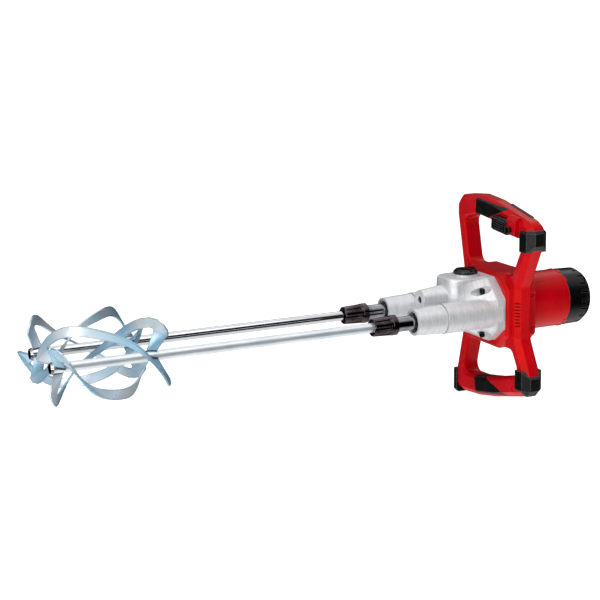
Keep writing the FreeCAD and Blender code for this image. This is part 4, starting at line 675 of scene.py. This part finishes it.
@dataclass
class MotorUnit(SubAssembly):
    """Motor housing, end cap and all that turns or sits inside them."""

    housing_radius: float = 0.0495
    panel_ends: tuple[float, float] = (0.058, 0.126)
    panel_angles: tuple[float, float] = (-50.0, 46.0)
    panel_stand: float = 0.0009
    panel_sink: float = 0.0008
    panel_steps: int = 32
    sharp_deg: float = 40.0
    tab_angles: tuple[float, ...] = (-18.0, 14.0, 40.0, 136.0, 162.0, 198.0)
    tab_length: float = 0.006
    tab_width: float = 0.009
    tab_stand: float = 0.0007
    tab_x: float = 0.0475
    round_share: float = 1 / 3

    def finishes(self) -> dict[str, Finish]:
        """Finish of each CAD node.

        Returns:
            The finishes by node name.
        """
        return {
            "motor_housing": RED_ABS, "motor_end_cap": BLACK_NYLON, "cap_screws": GROUND_STEEL,
            "stator_core": SHEET_STACK, "armature_core": SHEET_STACK, "field_coils": COPPER_WIRE,
            "commutator": COPPER_WIRE, "brush_holders": BLACK_NYLON, "carbon_brushes": GRAPHITE,
            "armature_shaft": GROUND_STEEL, "cooling_fan": BLACK_NYLON, "motor_bearings": GROUND_STEEL,
        }

    def build(self) -> None:
        """Raises a panel on each flank of the housing and tabs over the cap's seam, above and below."""
        panels = bmesh.new()
        for side in Side:
            self.add_panel(panels, side)
        bmesh.ops.recalc_face_normals(panels, faces=panels.faces)
        limit = math.radians(self.sharp_deg)
        sharp = [edge for edge in panels.edges if edge.calc_face_angle(0.0) > limit]
        soften(panels, sharp, self.panel_stand * self.round_share)
        self.add("housing_side_panels", panels, RED_ABS, "red_plastic")
        outward = Matrix.Translation((self.tab_x, 0, self.housing_radius))
        places = [Matrix.Rotation(-math.radians(angle), 4, "X") @ outward for angle in self.tab_angles]
        size = (self.tab_length, self.tab_width, 2 * self.tab_stand)
        tabs = soft_blocks(places, size, self.tab_stand * self.round_share)
        self.add("housing_seam_tabs", tabs, RED_ABS, "red_plastic")

    def add_panel(self, shape: Shape, side: Side) -> None:
        """Adds one curved panel by spinning its section round the motor's axis.

        Args:
            shape: the bmesh that takes it.
            side: the flank that it lies on.
        """
        start, end = self.panel_ends
        low, high = (math.radians(angle) for angle in self.panel_angles)
        radius = self.housing_radius + (self.panel_stand - self.panel_sink) / 2
        middle = Matrix.Translation(((start + end) / 2, radius, 0))
        size = Matrix.Diagonal((end - start, self.panel_stand + self.panel_sink, 1, 1))
        before = set(shape.verts)
        corners = bmesh.ops.create_grid(shape, x_segments=1, y_segments=1, size=0.5,
                                        matrix=Matrix.Rotation(low, 4, "X") @ middle @ size)["verts"]
        section = corners[0].link_faces[0]
        bmesh.ops.spin(shape, geom=[*section.verts, *section.edges, section], cent=(0, 0, 0), axis=(1, 0, 0),
                       angle=high - low, steps=self.panel_steps)
        bmesh.ops.transform(shape, matrix=Matrix.Diagonal((1, side.sign, 1, 1)),
                            verts=[vert for vert in shape.verts if vert not in before])


@dataclass
class Gearbox(SubAssembly):
    """Cast case with its cover, gears, bearings and speed selector."""

    serration_count: int = 28
    serration_stand: float = 0.0016
    serration_width: float = 0.0016
    serration_height: float = 0.0032
    serration_round: float = 0.0004
    serration_z: float = 0.0634

    def finishes(self) -> dict[str, Finish]:
        """Finish of each CAD node.

        Returns:
            The finishes by node name.
        """
        made: dict[str, Finish] = {"oil_seals": BUMPER_RUBBER, "selector_knob": BLACK_NYLON}
        for node in ("gearbox_case", "gearbox_cover", "bearing_plate"):
            made[node] = CAST_ALUMINIUM
        for node in ("shaft_bearings", "spindle_bearings", "first_stage_wheel", "countershaft",
                     "second_stage_wheel", "drive_shaft", "idler_shaft"):
            made[node] = GROUND_STEEL
        for node in ("gearbox_screws", "countershaft_plug"):
            made[node] = OILED_SCREW
        return made

    def build(self) -> None:
        """Sets a ring of finger serrations round the selector knob."""
        low, high = (Vector(corner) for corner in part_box("selector_knob"))
        axis = Matrix.Translation(((low.x + high.x) / 2, (low.y + high.y) / 2, self.serration_z))
        outward = Matrix.Translation(((high.x - low.x) / 2, 0, 0))
        angles = [FULL_TURN * index / self.serration_count for index in range(self.serration_count)]
        places = [axis @ Matrix.Rotation(angle, 4, "Z") @ outward for angle in angles]
        size = (self.serration_stand, self.serration_width, self.serration_height)
        serrations = soft_blocks(places, size, self.serration_round)
        self.add("knob_serrations", serrations, BLACK_NYLON, "black_plastic", "selector_knob")


@dataclass
class Stirrer(SubAssembly):
    """One spindle with its release sleeve, rod and paddle."""

    side: Side = Side.NEAR
    blade_count: int = 3
    axis_y: float = 0.0515
    rod_radius: float = 0.008
    paddle_rear: float = 0.795
    paddle_front: float = 0.9845
    root_setback: float = 0.013
    strip_width: float = 0.016
    strip_thickness: float = 0.003
    start_deg: float = 30.0
    twist_deg: float = 236.0
    end_twist: float = 0.49
    bead_count: int = 6
    bead_radius: float = 0.0017
    bead_subdivisions: int = 2

    def finishes(self) -> dict[str, Finish]:
        """Finish of each CAD node; the near rod takes a paler copy of the chrome as a painted reflection.

        Returns:
            The finishes by node name.
        """
        made: dict[str, Finish] = {
            "spindle": POLISHED_STEEL, "spindle_gear": GROUND_STEEL, "release_sleeve": BLACK_OXIDE,
            "stirrer_rod": PAINTED_PALE_CHROME if self.side is Side.NEAR else CHROME_PLATE,
            "rod_end_disc": POLISHED_STEEL,
        }
        for number in range(1, self.blade_count + 1):
            made["blade_%d" % number] = ZINC_PLATE
        return {"%s_%s" % (self.side.value, node): finish for node, finish in made.items()}

    def build(self) -> None:
        """Runs weld beads along both sides of each blade root."""
        shape = bmesh.new()
        step = self.strip_width / self.bead_count
        roots = (self.paddle_rear + self.root_setback,
                 self.paddle_front - self.root_setback - self.strip_width)
        away = (self.strip_thickness / 2 + self.bead_radius / 2) / self.rod_radius
        stations = [root + (bead + 0.5) * step for root in roots for bead in range(self.bead_count)]
        for blade in range(self.blade_count):
            start = math.radians(self.start_deg) + FULL_TURN * blade / self.blade_count
            for along in stations:
                turn = self.turn_at(start, along)
                for angle in (turn - away, turn + away):
                    place = Matrix.Translation(self.on_rod(along, angle))
                    bmesh.ops.create_icosphere(shape, subdivisions=self.bead_subdivisions,
                                               radius=self.bead_radius, matrix=place)
        self.add(self.side.value + "_blade_welds", shape, DARK_STEEL, "zinc_plated_steel")

    def turn_at(self, start: float, along: float) -> float:
        """Angle of a blade from upright at a station along the rod.

        Args:
            start: its angle at the motor's end.
            along: the station in metres.

        Returns:
            The angle in radians.
        """
        share = (along - self.paddle_rear) / (self.paddle_front - self.paddle_rear)
        swing = self.end_twist * math.sin(FULL_TURN * share) / FULL_TURN
        return start - self.side.sign * math.radians(self.twist_deg) * (share + swing)

    def on_rod(self, along: float, angle: float) -> Vector:
        """Point on the rod's skin at a station and an angle from upright."""
        return Vector((along, self.side.sign * self.axis_y + self.rod_radius * math.sin(angle),
                       self.rod_radius * math.cos(angle)))


@dataclass(frozen=True)
class SoftBox:
    """A rectangular light: its place and size in metres and its power in watts."""

    name: str
    place: Triple
    size: tuple[float, float]
    power: float


@dataclass
class Studio:
    """Pale floor, soft light and the photo's camera."""

    floor_gap: float = 0.001
    floor_half: float = 30.0
    paper_colour: str = "#A8A8A8"
    paper_roughness: float = 0.9
    paper_glow: float = 0.95
    white: str = "#FFFFFF"
    dark: str = "#0C0C0C"
    bright_below: float = 0.12
    dark_span: tuple[float, float] = (0.26, 0.76)
    bright_above: float = 0.92
    surround_strength: float = 0.85
    sky_direction: Triple = (0.3, 0.5, 1.0)
    sky_strength: float = 1.0
    sky_spread_deg: float = 80.0
    soft_boxes: tuple[SoftBox, ...] = (
        SoftBox("front_softbox", (2.2, 1.5, 1.1), (1.4, 1.8), 20),
        SoftBox("low_bounce", (1.9, 0.9, -0.05), (1.6, 0.30), 9),
        SoftBox("rear_softbox", (-0.6, -1.6, 1.6), (2.4, 1.0), 7),
    )
    light_aim: Triple = (0.4, 0.0, 0.0)
    azimuth: float = 154.607
    elevation: float = 12.294
    roll: float = -0.942
    distance: float = 2.75498
    target: Triple = (0.53720, -0.00233, 0.04727)
    lens: float = 101.93
    sensor: float = 36.0
    far_clip: float = 200.0

    def build(self) -> None:
        """Makes the whole studio."""
        bpy.context.scene.view_settings.view_transform = "Standard"
        self.lay_floor()
        self.set_world()
        self.hang_sky()
        for box in self.soft_boxes:
            self.hang_box(box)
        self.aim_camera()

    def lay_floor(self) -> None:
        """Lays one large pale sheet under the tool."""
        shape = bmesh.new()
        bmesh.ops.create_grid(shape, x_segments=1, y_segments=1, size=self.floor_half)
        bmesh.ops.translate(shape, verts=shape.verts, vec=(0, 0, CAD_BOUNDS[0][2] - self.floor_gap))
        mesh = bpy.data.meshes.new("studio_floor")
        shape.to_mesh(mesh)
        shape.free()
        material = bpy.data.materials.new("pale_studio_paper")
        material.use_nodes = True
        inputs = material.node_tree.nodes["Principled BSDF"].inputs
        inputs["Base Color"].default_value = linear(self.paper_colour)
        inputs["Roughness"].default_value = self.paper_roughness
        inputs["Emission Color"].default_value = linear(self.white)
        inputs["Emission Strength"].default_value = self.paper_glow
        mesh.materials.append(material)
        floor = bpy.data.objects.new("studio_floor", mesh)
        bpy.context.scene.collection.objects.link(floor)
        floor.visible_glossy = False

    def set_world(self) -> None:
        """Sets a surround that is bright above and below and dark between, as round a photo table."""
        world = bpy.data.worlds.new("studio_surround")
        bpy.context.scene.world = world
        world.use_nodes = True
        tree = world.node_tree
        tree.nodes.clear()
        direction = add_node(tree, "ShaderNodeTexCoord").outputs["Generated"]
        parts = add_node(tree, "ShaderNodeSeparateXYZ", None, {"Vector": direction})
        height = add_node(tree, "ShaderNodeMapRange", {"From Min": -1.0, "From Max": 1.0},
                          {"Value": parts.outputs["Z"]})
        bands = add_node(tree, "ShaderNodeValToRGB", None, {"Fac": height.outputs["Result"]})
        lowest, second = bands.color_ramp.elements
        dark_from, dark_to = self.dark_span
        lowest.position, lowest.color = self.bright_below, linear(self.white)
        second.position, second.color = dark_from, linear(self.dark)
        for position, colour in ((dark_to, self.dark), (self.bright_above, self.white)):
            bands.color_ramp.elements.new(position).color = linear(colour)
        background = add_node(tree, "ShaderNodeBackground", {"Strength": self.surround_strength},
                              {"Color": bands.outputs["Color"]})
        add_node(tree, "ShaderNodeOutputWorld", None, {"Surface": background.outputs["Background"]})

    def hang_sky(self) -> None:
        """Hangs a far even panel that lights floor and tool alike."""
        light = bpy.data.lights.new("sky_panel", "SUN")
        light.energy = self.sky_strength
        light.angle = math.radians(self.sky_spread_deg)
        self.hang(light, -Vector(self.sky_direction))

    def hang_box(self, box: SoftBox) -> None:
        """Hangs a soft box that faces the tool.

        Args:
            box: the light's place, size and power.
        """
        light = bpy.data.lights.new(box.name, "AREA")
        light.shape = "RECTANGLE"
        light.size, light.size_y = box.size
        light.energy = box.power
        self.hang(light, Vector(self.light_aim) - Vector(box.place), box.place)

    def hang(self, light: bpy.types.Light, aim: Vector, place: Triple = (0.0, 0.0, 0.0)) -> None:
        """Puts a light in the scene.

        Args:
            light: the light's data, which gives its object the same name.
            aim: the direction in which it shines.
            place: where it hangs; a far panel has no place of its own.
        """
        lamp = bpy.data.objects.new(light.name, light)
        lamp.location = place
        lamp.rotation_euler = aim.to_track_quat("-Z", "Y").to_euler()
        bpy.context.scene.collection.objects.link(lamp)

    def aim_camera(self) -> None:
        """Sets the camera at the photo's angle and distance."""
        turn, rise, roll = (math.radians(value) for value in (self.azimuth, self.elevation, self.roll))
        back = Vector((math.sin(turn) * math.cos(rise), -math.cos(turn) * math.cos(rise), math.sin(rise)))
        level = Vector((math.cos(turn), math.sin(turn), 0))
        upright = back.cross(level)
        right = math.cos(roll) * level + math.sin(roll) * upright
        up = math.cos(roll) * upright - math.sin(roll) * level
        data = bpy.data.cameras.new("photo_camera")
        data.sensor_width = self.sensor
        data.lens = self.lens
        data.clip_end = self.far_clip
        camera = bpy.data.objects.new("photo_camera", data)
        axes = Matrix((right, up, back)).transposed().to_4x4()
        camera.matrix_world = Matrix.Translation(Vector(self.target) + back * self.distance) @ axes
        bpy.context.scene.collection.objects.link(camera)
        bpy.context.scene.camera = camera


def main() -> None:
    """Builds and dresses each sub-assembly, then the studio."""
    logging.basicConfig(level=logging.INFO, format="%(name)s: %(message)s")
    groups: list[SubAssembly] = [HandleFrame(), SwitchGroup(), MotorUnit(), Gearbox()]
    groups += [Stirrer(body=side.value + "_stirrer", side=side) for side in Side]
    for group in groups:
        group.build()
        group.dress()
        LOG.info("%s: %d nodes dressed", type(group).__name__, len(group.finishes()))
    Studio().build()


if __name__ == "__main__":
    main()
